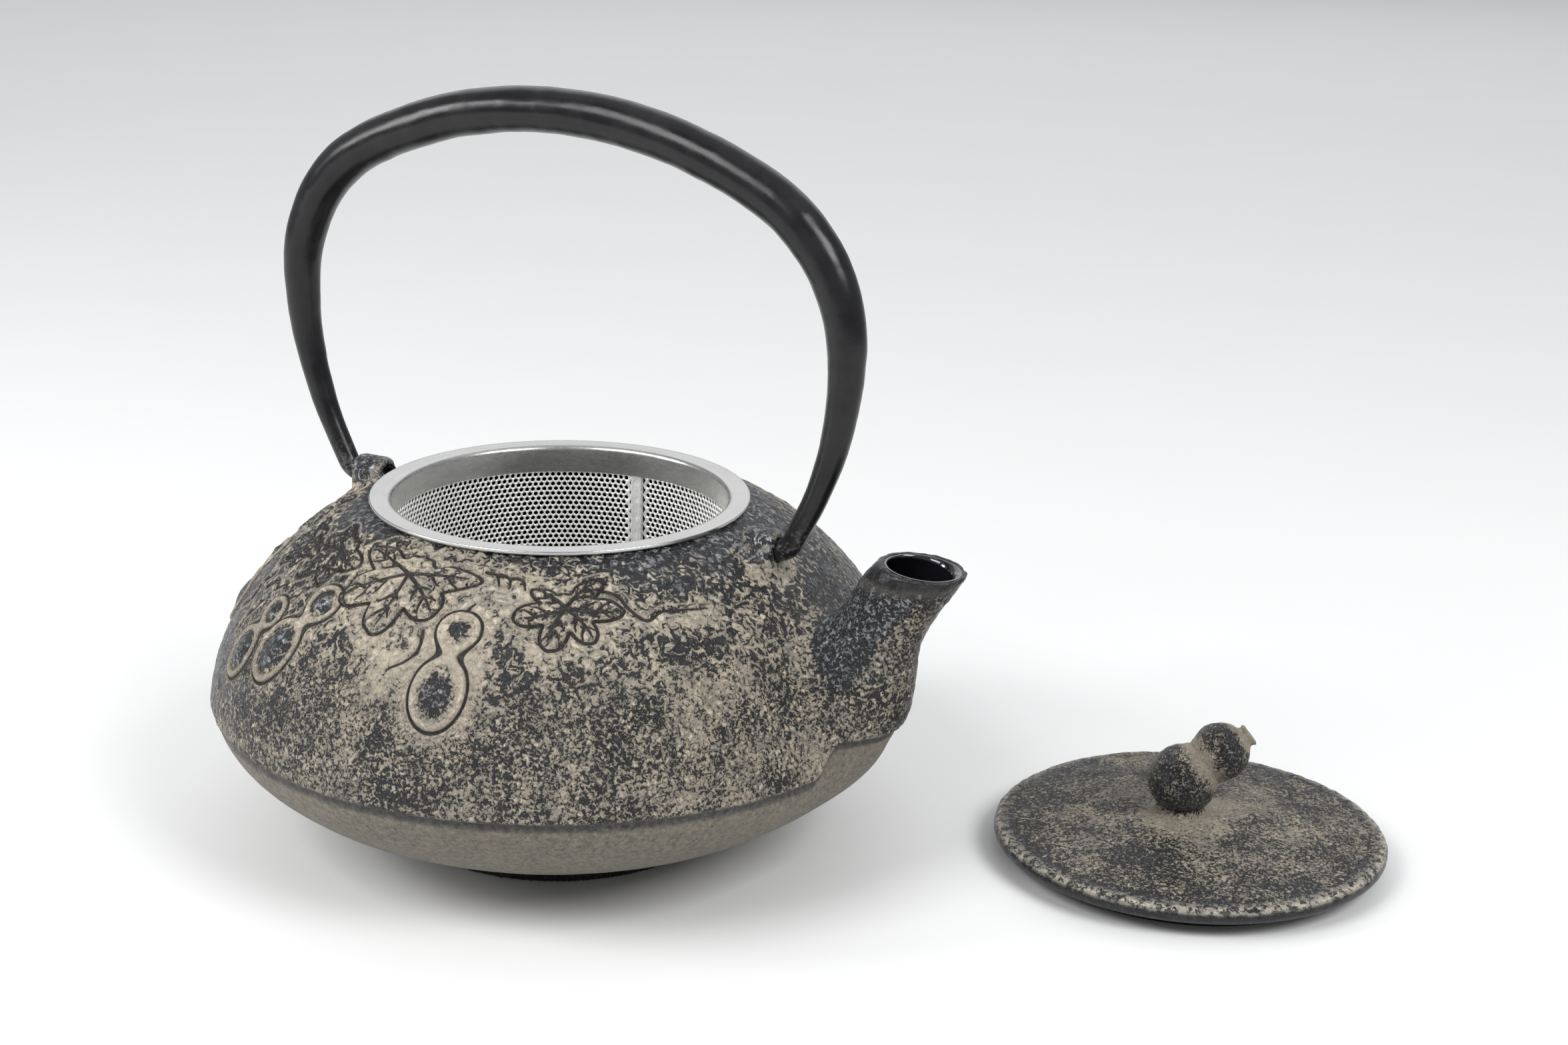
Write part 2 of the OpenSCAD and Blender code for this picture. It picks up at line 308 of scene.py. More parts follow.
def prism(name, outline, axis, low, high):
    """An outline drawn across an axis and pulled along it from low to high."""
    others = [i for i in range(3) if i != axis]
    verts = np.zeros((2 * len(outline), 3))
    verts[:, others[0]] = [p[0] for p in outline] * 2
    verts[:, others[1]] = [p[1] for p in outline] * 2
    verts[:, axis] = [low] * len(outline) + [high] * len(outline)
    n = len(outline)
    faces = [tuple(range(n)), tuple(range(n, 2 * n))]
    faces += [(i, (i + 1) % n, n + (i + 1) % n, n + i) for i in range(n)]
    return face_outwards(new_piece(name, verts, faces))


# ---- The casting's outside, as a field that is 0 on its surface ----


def swell(top_r, share, powers):
    n, m = powers
    return top_r * (1 - np.clip(share, 0, 0.9995) ** n) ** (1 / m)


def body_radius(z):
    """Radius of the pot's outside at the height z, before the parting line's step is cut."""
    shoulder = swell(BODY_R, (z - PARTING_Z) / SHOULDER_RISE, SHOULDER_POWERS)
    belly = swell(BODY_R, (PARTING_Z - z) / BELLY_DROP, BELLY_POWERS)
    foot = FOOT_R + 0.5 + 0.3 * z / FOOT_H
    return np.where(z > PARTING_Z, shoulder, np.where(z > FOOT_H, belly, foot))


def parting_height(x, y):
    """Height of the parting line, which climbs where it passes under the spout."""
    return PARTING_Z + 6.5 * smooth((18 - np.abs(y)) / 6) * smooth((x - 40) / 15)


def parting_inset(above):
    """How far the surface stands back, by its height above the parting line."""
    return PARTING_STEP * smooth(0.5 - above / 0.7) + 0.25 * bump((above + 1.0) / 0.7)


def spout_frames(t):
    """Centres, tilts and half sizes of the spout's rings at the shares t of its length."""
    u = 1 - t
    p = SPOUT_PATH
    weights = np.stack([u ** 3, 3 * u * u * t, 3 * u * t * t, t ** 3], 1)
    centre = weights @ p
    run = np.stack([u * u, 2 * u * t, t * t], 1) @ np.diff(p, axis=0)
    mouth = smooth((t - 0.72) / 0.28)
    tilt = np.arctan2(run[:, 0], run[:, 1]) * (1 - mouth) + LIP_TILT * mouth
    r = SPOUT_NECK_R + (SPOUT_BULB_R - SPOUT_NECK_R) * (1 - smooth((t - 0.35) / 0.5))
    return centre, tilt, r + mouth, r + 0.3 * mouth


RINGS = spout_frames(np.linspace(0, 1, 40))


def spout_field(p):
    """About the distance outside the spout, for points in an (n, 3) array."""
    centre, tilt, half_u, half_v = RINGS
    dx = p[:, :1] - centre[:, 0]
    dz = p[:, 2:] - centre[:, 1]
    ahead = dx * np.sin(tilt) + dz * np.cos(tilt)
    passed = np.clip((ahead >= 0).sum(1) - 1, 0, len(tilt) - 2)
    rows = np.arange(len(p))
    here, there = ahead[rows, passed], ahead[rows, passed + 1]
    share = np.clip(here / np.maximum(here - there, 1e-6), 0, 1)
    side = dx * np.cos(tilt) - dz * np.sin(tilt)
    u = side[rows, passed] * (1 - share) + side[rows, passed + 1] * share
    a = half_u[passed] * (1 - share) + half_u[passed + 1] * share
    b = half_v[passed] * (1 - share) + half_v[passed + 1] * share
    around = (np.sqrt((u / a) ** 2 + (p[:, 1] / b) ** 2) - 1) * np.minimum(a, b)
    return -soft_min(-around, -ahead[:, -1], 1.0)


def soft_min(a, b, blend):
    """The lesser of two distances, blended where they differ by less than blend."""
    mix = np.clip(0.5 + 0.5 * (b - a) / blend, 0, 1)
    return b * (1 - mix) + a * mix - blend * mix * (1 - mix)


def lug_faces(p):
    """Distances outside a lug's arch with its flanks, and outside its two sides with their ridges."""
    inwards = LUG_X - np.abs(p[:, 0])
    across = np.where(inwards > 0, inwards * LUG_HALF_T / LUG_INNER_T, -inwards)
    y, z = np.abs(p[:, 1]), p[:, 2]
    arch = np.hypot(y, z - PIVOT_Z) - LUG_TOP_R
    flank = np.maximum((y - 9) * 0.9155 + (z - 60) * 0.4025, z - PIVOT_Z - 1.3)
    front = soft_min(arch, flank, 1.0)
    ridge = np.maximum(across - LUG_HALF_T, (across - LUG_HALF_T) * 0.8756 + (y - 2.4) * 0.4831)
    return front, ridge


def lug_field(p):
    """About the distance outside a lug: an arch over the eye, widening down to two ridged flanks."""
    front, ridge = lug_faces(p)
    return -soft_min(-front, -ridge, 1.2)


def by_spout(x, y):
    """Whether points are near enough to the spout for it to matter."""
    return (x > 44) & (np.abs(y) < 26)


def casting_field(p):
    """About the distance outside the casting with its spout, for points in an (n, 3) array."""
    x, y, z = p.T
    step = 0.05
    slope = (body_radius(z + step) - body_radius(z - step)) / (2 * step)
    field = (np.hypot(x, y) - body_radius(z)) / np.sqrt(1 + slope ** 2)
    near = by_spout(x, y)
    if near.any():
        field[near] = soft_min(field[near], spout_field(p[near]), SPOUT_FILLET)
    field = field + parting_inset(z - parting_height(x, y))
    near = (np.abs(np.abs(x) - LUG_X) < 7) & (np.abs(y) < 13) & (z > 58)
    if near.any():
        field[near] = soft_min(field[near], lug_field(p[near]), 2.2)
    seat = np.where(np.hypot(x, y) < 44, z - SEAT_Z, -1e3)
    return np.maximum(np.maximum(field, seat), -z)


def surface_net(field, low, high, step):
    """A closed mesh of quads on which field(points) is 0, from samples step apart."""
    axes = [np.arange(a, b + step, step) for a, b in zip(low, high)]
    flat_y, flat_z = (g.ravel() for g in np.meshgrid(axes[1], axes[2], indexing="ij"))
    samples = np.stack([
        field(np.stack([np.full(flat_y.shape, x), flat_y, flat_z], 1)) for x in axes[0]
    ]).reshape([len(a) for a in axes])
    inside = samples < 0
    shape = [len(a) - 1 for a in axes]
    corners = list(np.ndindex(2, 2, 2))
    count = sum(
        inside[i:i + shape[0], j:j + shape[1], k:k + shape[2]].astype(np.int8) for i, j, k in corners
    )
    cells = np.argwhere((count > 0) & (count < 8))
    index = np.full(shape, -1)
    index[tuple(cells.T)] = np.arange(len(cells))
    total = np.zeros((len(cells), 3))
    crossings = np.zeros(len(cells))
    for corner in corners:
        for axis in range(3):
            if corner[axis]:
                continue
            start = cells + corner
            end = start.copy()
            end[:, axis] += 1
            a, b = samples[tuple(start.T)], samples[tuple(end.T)]
            cross = (a < 0) != (b < 0)
            point = start.astype(float)
            point[:, axis] += np.where(cross, a / np.where(a == b, 1, a - b), 0)
            total[cross] += point[cross]
            crossings += cross
    verts = np.array(low) + total / crossings[:, None] * step
    quads = []
    for axis in range(3):
        u, v = (axis + 1) % 3, (axis + 2) % 3
        edges = np.argwhere(np.diff(inside, axis=axis))
        starts_inside = inside[tuple(edges.T)]
        ring = []
        for du, dv in ((0, 0), (-1, 0), (-1, -1), (0, -1)):
            cell = edges.copy()
            cell[:, u] += du
            cell[:, v] += dv
            ring.append(index[tuple(cell.T)])
        ring = np.stack(ring, 1)
        ring[~starts_inside] = ring[~starts_inside][:, ::-1]
        quads.append(ring)
    return verts, np.concatenate(quads)


def settle(verts, field, rounds=2):
    """Moves vertices onto the surface where field is 0."""
    h = 0.02
    for _ in range(rounds):
        value = field(verts)
        slope = np.stack([(field(verts + d) - field(verts - d)) / (2 * h) for d in np.eye(3) * h], 1)
        verts = verts - np.clip(value / np.maximum((slope ** 2).sum(1), 0.2), -0.4, 0.4)[:, None] * slope
    return verts


# ---- The relief on the shoulder ----
# Motifs are drawn on a flat sheet laid on the shoulder: u runs round the pot and v runs up its curve.

LINE_W = 0.40                 # half width of a cut line where it is widest
LINE_DEPTH = 0.5
MOTIF_REACH = 26              # no motif has a line further than this from its own middle


def shoulder_length(p):
    """How far up the shoulder's curve each point lies, from the parting line."""
    t = np.linspace(0, 0.995, 400)
    z = PARTING_Z + t * SHOULDER_RISE
    r = swell(BODY_R, t, SHOULDER_POWERS)
    length = np.concatenate([[0], np.cumsum(np.hypot(np.diff(r), np.diff(z)))])
    return np.interp(p[:, 2] - np.hypot(p[:, 0], p[:, 1]), z - r, length)


class Motif:
    """Cut lines, and a shape raised between them, laid on the shoulder at one place."""

    def __init__(self, angle, height, turn=0):
        radius = float(body_radius(np.array(height)))
        self.angle = math.radians(angle)
        self.start = float(shoulder_length(np.array([[radius, 0, height]]))[0])
        self.turn = math.radians(turn)
        self.lines = []
        self.inside = None

    def draw(self, points, wide=1.0, taper=0.35):
        """A cut line that narrows towards its end."""
        points = np.array(points, float)
        self.lines.append((points, np.linspace(wide, wide * taper, len(points))))

    def place(self, p, length):
        """Points in the motif's own flat axes, in millimetres."""
        away = (np.arctan2(p[:, 1], p[:, 0]) - self.angle + math.pi) % (2 * math.pi) - math.pi
        u = away * np.hypot(p[:, 0], p[:, 1])
        v = length - self.start
        c, s = math.cos(self.turn), math.sin(self.turn)
        return np.stack([u * c + v * s, -u * s + v * c], 1)

    def distances(self, q):
        """Distance to the nearest cut line, and that distance over the line's own width there."""
        near = np.full(len(q), 1e9)
        scaled = np.full(len(q), 1e9)
        for points, widths in self.lines:
            for a, b, w0, w1 in zip(points, points[1:], widths, widths[1:]):
                run = b - a
                share = np.clip((q - a) @ run / max(run @ run, 1e-9), 0, 1)
                d = np.linalg.norm(q - a - share[:, None] * run, axis=1)
                near = np.minimum(near, d)
                scaled = np.minimum(scaled, d / (w0 + (w1 - w0) * share))
        return near, scaled


def curve(points, steps=6):
    """A smooth line through a few points."""
    points = np.array(points, float)
    padded = np.vstack([2 * points[0] - points[1], points, 2 * points[-1] - points[-2]])
    t = np.linspace(0, 1, steps, endpoint=False)[:, None]
    out = []
    for a, b, c, d in zip(padded, padded[1:], padded[2:], padded[3:]):
        out.append(0.5 * (2 * b + (c - a) * t + (2 * a - 5 * b + 4 * c - d) * t ** 2
                          + (3 * b - a - 3 * c + d) * t ** 3))
    return np.vstack([*out, points[-1:]])


def leaf(angle, height, size, turn, lobes):
    """A vine leaf. Each lobe is (direction in degrees, length, half width in radians)."""
    motif = Motif(angle, height, turn)

    def edge(direction):
        reach = np.full(len(direction), 0.34)
        for lobe, length, wide in lobes:
            away = (direction - math.radians(lobe) + math.pi) % (2 * math.pi) - math.pi
            blade = length * (1 - 0.46 * np.clip(np.abs(away) / wide, 0, 1) ** 1.25)
            reach = np.maximum(reach, np.where(np.abs(away) < wide * 1.05, blade, 0))
        return size * reach * (1 + 0.035 * np.sin(13 * direction))

    around = np.radians(np.linspace(96, 96 + 348, 150))
    rim = np.stack([np.cos(around), np.sin(around)], 1) * edge(around)[:, None]
    motif.draw(rim, 0.9, 0.9)
    for i, (lobe, length, wide) in enumerate(lobes):
        a = math.radians(lobe)
        ahead = np.array([math.cos(a), math.sin(a)])
        aside = np.array([-math.sin(a), math.cos(a)])
        bend = 0.7 * (-1) ** i
        motif.draw(curve([ahead * size * length * s + aside * bend * math.sin(3 * s)
                          for s in (0, 0.3, 0.6, 0.86)]), 1.15)
        for share, side in ((0.30, 1), (0.36, -1), (0.54, 1), (0.60, -1)):
            root = ahead * size * length * share
            tip = root + (ahead * 0.85 + aside * side * 0.62) * size * 0.25 * length
            bow = (root + tip) / 2 + aside * side * 0.35
            motif.draw(curve([root, bow, tip], 4), 0.85)

    def inside(q):
        return edge(np.arctan2(q[:, 1], q[:, 0])) - np.hypot(q[:, 0], q[:, 1])

    motif.inside = lambda q: (0.4 * smooth(inside(q) / 1.6), 0.15 * smooth((inside(q) - 0.8) / 2.5))
    return motif


def gourd(angle, height, size, turn):
    """A gourd with a small bulb over a large one, domed, with a rounded ridge round it."""
    motif = Motif(angle, height, turn)
    low_r, top_r, gap = 0.30 * size, 0.225 * size, 0.80 * size

    def depth(q):
        """How far inside the gourd's outline each point lies."""
        low = low_r - np.hypot(q[:, 0], (q[:, 1] + 0.4 * gap) * 0.76)
        top = top_r - np.hypot(q[:, 0], q[:, 1] - 0.6 * gap)
        return -soft_min(-low, -top, 0.2 * size)

    motif.outline = depth
    motif.draw(curve([(0, 0.6 * gap + top_r + 0.9), (0.3, 0.6 * gap + top_r + 2.0),
                      (1.1, 0.6 * gap + top_r + 3.2)]), 1.1)

    def inside(q):
        d = depth(q)
        ridge = 0.4 * bump((d + 0.1) / 0.6)
        dome = 1.1 * np.sqrt(smooth((d - 0.6) / (0.26 * size)))
        return ridge + dome, smooth((d - 0.5) / 2.6)

    motif.inside = inside
    return motif


def vine(angle, height, points, turn=0, wide=1.0):
    """A tendril along a smooth line."""
    motif = Motif(angle, height, turn)
    motif.draw(curve(points, 8), wide)
    return motif


HANGING = [(-88, 1.0, 0.52), (-140, 1.04, 0.52), (-36, 0.94, 0.52), (170, 0.92, 0.44), (6, 1.0, 0.42)]
OPEN = [(-62, 0.90, 0.46), (-118, 0.96, 0.50), (-172, 1.0, 0.46), (-12, 1.06, 0.44), (38, 0.92, 0.44),
        (138, 0.72, 0.46)]
SIDE = [(-55, 0.94, 0.52), (-108, 1.0, 0.50), (-160, 0.94, 0.52), (-4, 0.9, 0.5), (150, 0.7, 0.46)]


def motifs():
    return [
        leaf(-95.5, 68.8, 15.5, -2, HANGING),
        leaf(-56, 66.4, 11.0, 6, OPEN),
        leaf(-122, 68.4, 11.0, -8, SIDE),
        leaf(-139, 66.5, 9.5, -14, HANGING),
        leaf(-166, 66.5, 12.5, 8, OPEN),
        gourd(-77.8, 56.9, 16.5, -4),
        gourd(-114.3, 56.0, 17.0, -22),
        gourd(-126, 51.4, 14.0, -20),
        gourd(-152, 54.0, 14.5, 10),
        gourd(-184, 55.0, 16.0, -8),
        vine(-46, 68.0, [(-1.5, 1.2), (1.6, -0.6), (3.4, -4.2), (6.4, -7.0), (9.6, -5.4), (13.6, -5.6),
                         (19.5, -6.4)], wide=1.15),
        vine(-88, 58.0, [(3.4, 5.6), (4.2, 1.6), (2.4, -1.4), (-0.6, -3.6), (-1.4, -6.2)]),
        vine(-105, 71.6, [(-4.2, -0.6), (-2.6, 1.0), (-1.2, -0.4), (0.2, 1.1), (1.4, -0.4), (3.2, 1.2)]),
        vine(-85, 71.4, [(-3.2, 0.4), (-1.8, 1.2), (-0.4, 0.0), (1.4, 1.2), (3.6, 0.6)]),
        vine(-73.5, 69.8, [(-1.8, 1.8), (0.4, 1.2), (1.6, -1.6)], wide=1.25),
        vine(-70.5, 69.6, [(-1.2, 1.9), (0.8, 0.9), (1.2, -1.6)], wide=1.25),
        vine(-67, 69.4, [(-1.4, 1.6), (0.6, 1.2), (1.5, -1.5)], wide=1.25),
        vine(-104, 62.0, [(-2.0, 5.0), (-3.4, 2.2), (-1.0, 0.6), (0.6, 1.6)]),
        vine(-119, 62.0, [(2.6, 4.4), (1.0, 1.6), (-1.4, -1.0), (-1.8, -3.6)]),
        vine(-131, 60.0, [(-4.5, -3), (-2.0, 0), (0.4, -1.4), (2.8, 0.8), (5, 0)]),
        vine(-134, 53.0, [(2, 4), (0.6, 1), (-1.2, -2), (-0.6, -5)]),
        vine(-150, 69.0, [(-5, -1), (-2.6, 1.2), (-0.4, -0.2), (2, 1.6), (4.4, 0.6)]),
        vine(-141, 56.0, [(3.6, 5), (1.6, 1.4), (2.4, -2.4), (-0.2, -5)]),
        vine(-176, 69.5, [(-6, 0.4), (-3, 2), (0, 0), (3, 1.6), (6, -0.6)]),
        vine(-196, 66.0, [(5, 3), (1.5, 1.5), (-1, -2), (-4.5, -3.5), (-8, -2.0), (-12, -3.6)]),
    ]


def relief(p):
    """Over each vertex: the relief's height, and how much it is cut line, pale crest, dark crown and the
    smooth iron around the motifs."""
    height, cut, crest, crown, calm = (np.zeros(len(p)) for _ in range(5))
    chosen = np.flatnonzero(p[:, 2] > PARTING_Z + 4)
    length = shoulder_length(p[chosen])
    for motif in motifs():
        q = motif.place(p[chosen], length)
        near = np.hypot(q[:, 0], q[:, 1]) < MOTIF_REACH
        at, q = chosen[near], q[near]
        if not len(at):
            continue
        distance, scaled = motif.distances(q)
        if motif.inside:
            raised, dark = motif.inside(q)
            height[at] = np.maximum(height[at], raised)
            crown[at] = np.maximum(crown[at], dark)
        if hasattr(motif, "outline"):
            d = motif.outline(q)
            rim = np.abs(d + 0.95)
            scaled = np.minimum(scaled, rim / 0.72)
            distance = np.minimum(distance, np.maximum(-d, 0))
            crest[at] = np.maximum(crest[at], bump((d + 0.05) / 0.7))
        cut[at] = np.maximum(cut[at], bump(scaled / LINE_W) * (scaled < 3 * LINE_W))
        crest[at] = np.maximum(crest[at], 0.6 * bump((distance - 1.25) / 0.5))
        calm[at] = np.maximum(calm[at], smooth((5.5 - distance) / 3.5))
    return height + 0.16 * crest - LINE_DEPTH * cut, cut, crest, crown, calm


def refine(obj, chosen):
    """Halves the edges between chosen vertices, so that fine lines keep their shape."""
    with editing(obj) as shape:
        edges = [e for e in shape.edges if chosen[e.verts[0].index] and chosen[e.verts[1].index]]
        bmesh.ops.subdivide_edges(shape, edges=edges, cuts=1, use_grid_fill=True)


# ---- Casting ----


def cavity(name, inset, steps):
    """The space inside the casting, shrunk by inset."""
    skin = WALL + inset
    mouth_r = MOUTH_R + ENAMEL - inset
    n, m = SHOULDER_POWERS
    top = (1 - (mouth_r / (BODY_R - skin)) ** m) ** (1 / n)
    floor = FLOOR_Z + inset
    drop = BELLY_DROP - skin
    lowest = (PARTING_Z - floor) / drop
    outline = [(0, floor)]
    outline += [
        (swell(BODY_R - PARTING_STEP - skin, t, BELLY_POWERS), PARTING_Z - t * drop)
        for t in np.linspace(lowest, 0.02, 24)
    ]
    outline += [
        (swell(BODY_R - skin, t, SHOULDER_POWERS), PARTING_Z + t * (SHOULDER_RISE - skin))
        for t in np.linspace(0.02, top, 24)
    ]
    outline += [(mouth_r, SEAT_Z + 1), (0, SEAT_Z + 1)]
    space = revolve(name, outline, steps)
    turn = np.linspace(0, math.pi / 2, 14)
    bore = np.linspace(0, 0.975, 40)
    places = np.concatenate([bore, 0.978 + 0.022 * np.sin(turn)])
    centre, tilt, half_u, half_v = spout_frames(places)
    flare = np.concatenate([np.zeros(len(bore)), LIP_ROUND * (1 - np.cos(turn))])
    thick = SPOUT_WALL + inset - flare
    rings = [
        ((c[0], 0, c[1]), (math.cos(a) * (u - w), 0, -math.sin(a) * (u - w)), (0, v - w, 0))
        for c, a, u, v, w in zip(centre, tilt, half_u, half_v, thick)
    ]
    end = rings[-1]
    past = (end[0][0] + 3 * math.sin(tilt[-1]), 0, end[0][2] + 3 * math.cos(tilt[-1]))
    rings.append((past, end[1], end[2]))
    return combine(space, tube(name + "_spout", rings, 64), "UNION")


NET_STEP = 0.62               # distance between the samples of the casting's field


def make_casting():
    step = NET_STEP
    margin = 2 * step
    verts, quads = surface_net(casting_field, pot_low - margin, pot_high + margin, step)
    verts = settle(verts, casting_field)
    casting = new_piece("pot_casting", verts, quads.tolist())
    combine(casting, cavity("cavity", 0, 128), "DIFFERENCE")
    for side in (-1, 1):
        eye = [((side * LUG_X + d, 0, PIVOT_Z), (0, EYE_R, 0), (0, 0, EYE_R)) for d in (-5.5, 5.5)]
        combine(casting, tube("eye", eye, 40), "DIFFERENCE")
    verts = verts_of(casting)
    cut, crest = relief(verts)[1:3]
    refine(casting, (np.abs(casting_field(verts)) < 0.3) & (cut + crest > 0.05))
    dress_casting(casting)
    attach(casting, "pot")
    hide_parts("pot_body")
    return casting


def dress_casting(casting):
    """Raises the relief and rough skin, and paints bare iron, patina, cut lines and smooth iron, with
    painted shade under the flange, in the seam groove and on the foot, and painted highlights on the
    lugs.
    """
    verts = verts_of(casting)
    normals = normals_of(casting)
    x, y, z = verts.T
    outside = smooth(1.5 - np.abs(casting_field(verts)) / 0.2)
    from_rim = smooth((SEAT_Z - 0.2 - z) / 0.4 + (x > 60)) * smooth((z - 0.5) / 2)
    from_lug = np.where(z > 60, lug_field(verts), 9)
    spare = outside * from_rim * smooth((from_lug + 0.5) / 1.5)
    height, cut, crest, crown, calm = relief(verts)
    above = z - parting_height(x, y)
    rough = smooth((above + 0.2) / 0.8)
    skin = layers(verts, (1.9, 11, 0.21), (5.5, 12, 0.14))
    sag = layers(verts, (26, 13, 0.25), (3.2, 14, 0.03))
    lumps = rough * skin * (1 - 0.75 * np.maximum(calm, cut))
    moved = verts + normals * (spare * (height + lumps + sag) + (outside - spare) * skin * 0.4)[:, None]
    moved[:, 2] = np.maximum(moved[:, 2], 0)
    set_verts(casting, moved)

    angle = np.degrees(np.arctan2(y, x))
    spout_d = np.full(len(verts), 30.0)
    near = by_spout(x, y)
    spout_d[near] = spout_field(verts[near])
    on_spout = smooth(1 - spout_d / 3.0)
    patches = layers(verts, (15, 21, 0.5), (7, 22, 0.5))
    rim_shade = smooth((z - 61) / 9) * smooth((angle + 66) / 30) * smooth((25 - angle) / 40)
    # Painted shade: more black iron shows in a band just under the basket's flange, where its shadow
    # falls.
    shade_under_flange = bump((SEAT_Z - 1 - z) / 1.6) * (np.hypot(x, y) < 50)
    back = smooth((np.abs(angle + 60) - 34) / 34) * smooth((z - 30) / 12)
    back = back * (0.75 - 0.5 * smooth((np.abs(angle + 60) - 80) / 25))
    flank = smooth((0.50 - normals[:, 0]) / 0.35) * smooth((z - 34) / 14)
    spout_top = smooth((z - 63) / 7)
    foot_of_lug = bump((from_lug - 0.8) / 2.6) * (z < 70.6)
    on_lug = smooth((0.9 - from_lug) / 0.8) * smooth((z - 68.6) / 1.2)
    beside_spout = bump((spout_d - 5) / 4) * (1 - on_spout) * (z < 62)
    # How much black iron shows through the patina: wear and the patina's own pattern, and painted shade
    # under the flange.
    bare_iron = 0.55 * rim_shade + 0.5 * shade_under_flange + back + on_spout * (1.45 * flank + 0.4 * spout_top - 0.45)
    bare_iron = bare_iron + 0.8 * crown + 1.3 * on_lug - 1.5 * foot_of_lug * (1 - on_lug)
    bare_iron = bare_iron - 0.4 * beside_spout - 0.5 * np.maximum(calm - crown, 0) * (1 - 0.8 * rim_shade)
    paint(casting, "bare_iron", np.clip(bare_iron + patches * 0.5 * (1 - 0.4 * calm), -1.2, 1.6))
    paint(casting, "cut", np.clip(cut * spare, 0, 1))
    paint(casting, "crest", np.clip(crest * spare, 0, 1))
    lip = on_spout * smooth((z - 67.5) / 3)
    paint(casting, "plain", np.maximum(1 - rough, 0.95 * lip))
    # Smooth black: on the spout's lip it is bare black iron; on the foot it is partly black iron and
    # partly painted shade under the belly.
    paint(casting, "black", np.maximum(lip, smooth((FOOT_H + 0.4 - z) / 0.5)))
    # Painted shade: a dark band in the groove just under the shoulder's step at the parting line.
    paint(casting, "seam", smooth((above + 2.1) / 0.7) * (1 - smooth((above - 0.2) / 0.3)))
    # Painted highlight: a pale line along the edges of each lug's arch.
    front, ridge = lug_faces(verts)
    paint(casting, "glint", 0.45 * on_lug * bump((front - ridge) / 0.9))
    paint(casting, "coarse", smooth((z - 46) / 20) * (1 - on_spout))


def make_enamel():
    """The glossy coat over the inside of the casting and the spout."""
    coat = cavity("pot_enamel", 0.01, 160)
    combine(coat, cavity("coat_space", ENAMEL, 160), "DIFFERENCE")
    square = [(-50, -50), (50, -50), (50, 50), (-50, 50)]
    combine(coat, prism("trim", square, 2, SEAT_Z, 90), "DIFFERENCE")
    centre, tilt = RINGS[0][-1], RINGS[1][-1]
    c, s = math.cos(tilt), math.sin(tilt)
    corners = [(-13, -0.2), (14, -0.2), (14, 8), (-13, 8)]
    outline = [(centre[0] + u * c + w * s, centre[1] - u * s + w * c) for u, w in corners]
    combine(coat, prism("trim", outline, 1, -15, 15), "DIFFERENCE")
    soften_edges(coat, 40)
    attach(coat, "pot")
    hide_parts("enamel_lining")
    return coat


# ---- Bail ----


def bail_line():
    """Points of the bail's centreline from the crown to one hook, in the XZ plane, with the heading that
    each has turned to. It is a chain of arcs that all turn the same way."""
    leg = 117                 # heading of the straight leg above the elbow, in degrees
    chain = [(105, 0, 27, 20), (34.5, 27, 90, 24), (75, 90, leg, 14)]
    elbow_r = 4.2
    point = np.array([0, CROWN_Z])
    line = []

    def along(radius, start, end, steps):
        nonlocal point
        a = math.radians(start)
        centre = point - radius * np.array([math.sin(a), math.cos(a)])
        for heading in np.linspace(start, end, steps):
            h = math.radians(heading)
            line.append((centre + radius * np.array([math.sin(h), math.cos(h)]), h))
        point = line[-1][0]

    for radius, start, end, steps in chain:
        along(radius, start, end, steps)
    h = math.radians(leg)
    straight = (point[1] - PIVOT_Z - elbow_r * (1 + math.cos(h))) / math.sin(h)
    point = point + straight * np.array([math.cos(h), -math.sin(h)])
    along(elbow_r, leg, 180, 14)
    tip = LUG_X - 1.5
    for x in np.linspace(point[0], tip, 5)[1:]:
        line.append((np.array([x, point[1]]), math.pi))
    return line


def make_bail():
    half = bail_line()
    line = [((-p[0], p[1]), -h) for p, h in reversed(half[1:])] + [(tuple(p), h) for p, h in half]
    centres = np.array([p for p, _ in line])
    headings = np.array([h for _, h in line])
    spread = [0, *np.cumsum(np.linalg.norm(np.diff(centres, axis=0), axis=1))]
    places = np.linspace(0, spread[-1], 420)
    x, z, heading = (np.interp(places, spread, v) for v in (centres[:, 0], centres[:, 1], headings))
    radius = HOOK_R + (GRIP_R - HOOK_R) * smooth((z - 68) / 74)
    end = np.minimum(places, spread[-1] - places)
    radius = radius * np.sqrt(np.clip(1 - (1 - np.clip(end / 1.2, 0, 1)) ** 2, 0.04, 1))
    rings = [
        ((a, 0, b), (r * math.sin(h), 0, r * math.cos(h)), (0, r, 0))
        for a, b, h, r in zip(x, z, heading, radius)
    ]
    bail = tube("bail_bar", rings, 48)
    verts = verts_of(bail)
    bar = smooth((verts[:, 2] - 75) / 8)
    push_out(bail, layers(verts, (9, 31, 0.16), (3, 32, 0.05)) * bar)
    paint(bail, "rubbed", bump((verts[:, 2] - PIVOT_Z) / 6))
    soften_edges(bail, 50)
    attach(bail, "handle")
    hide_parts("handle_bail")
    return bail


# ---- Basket ----


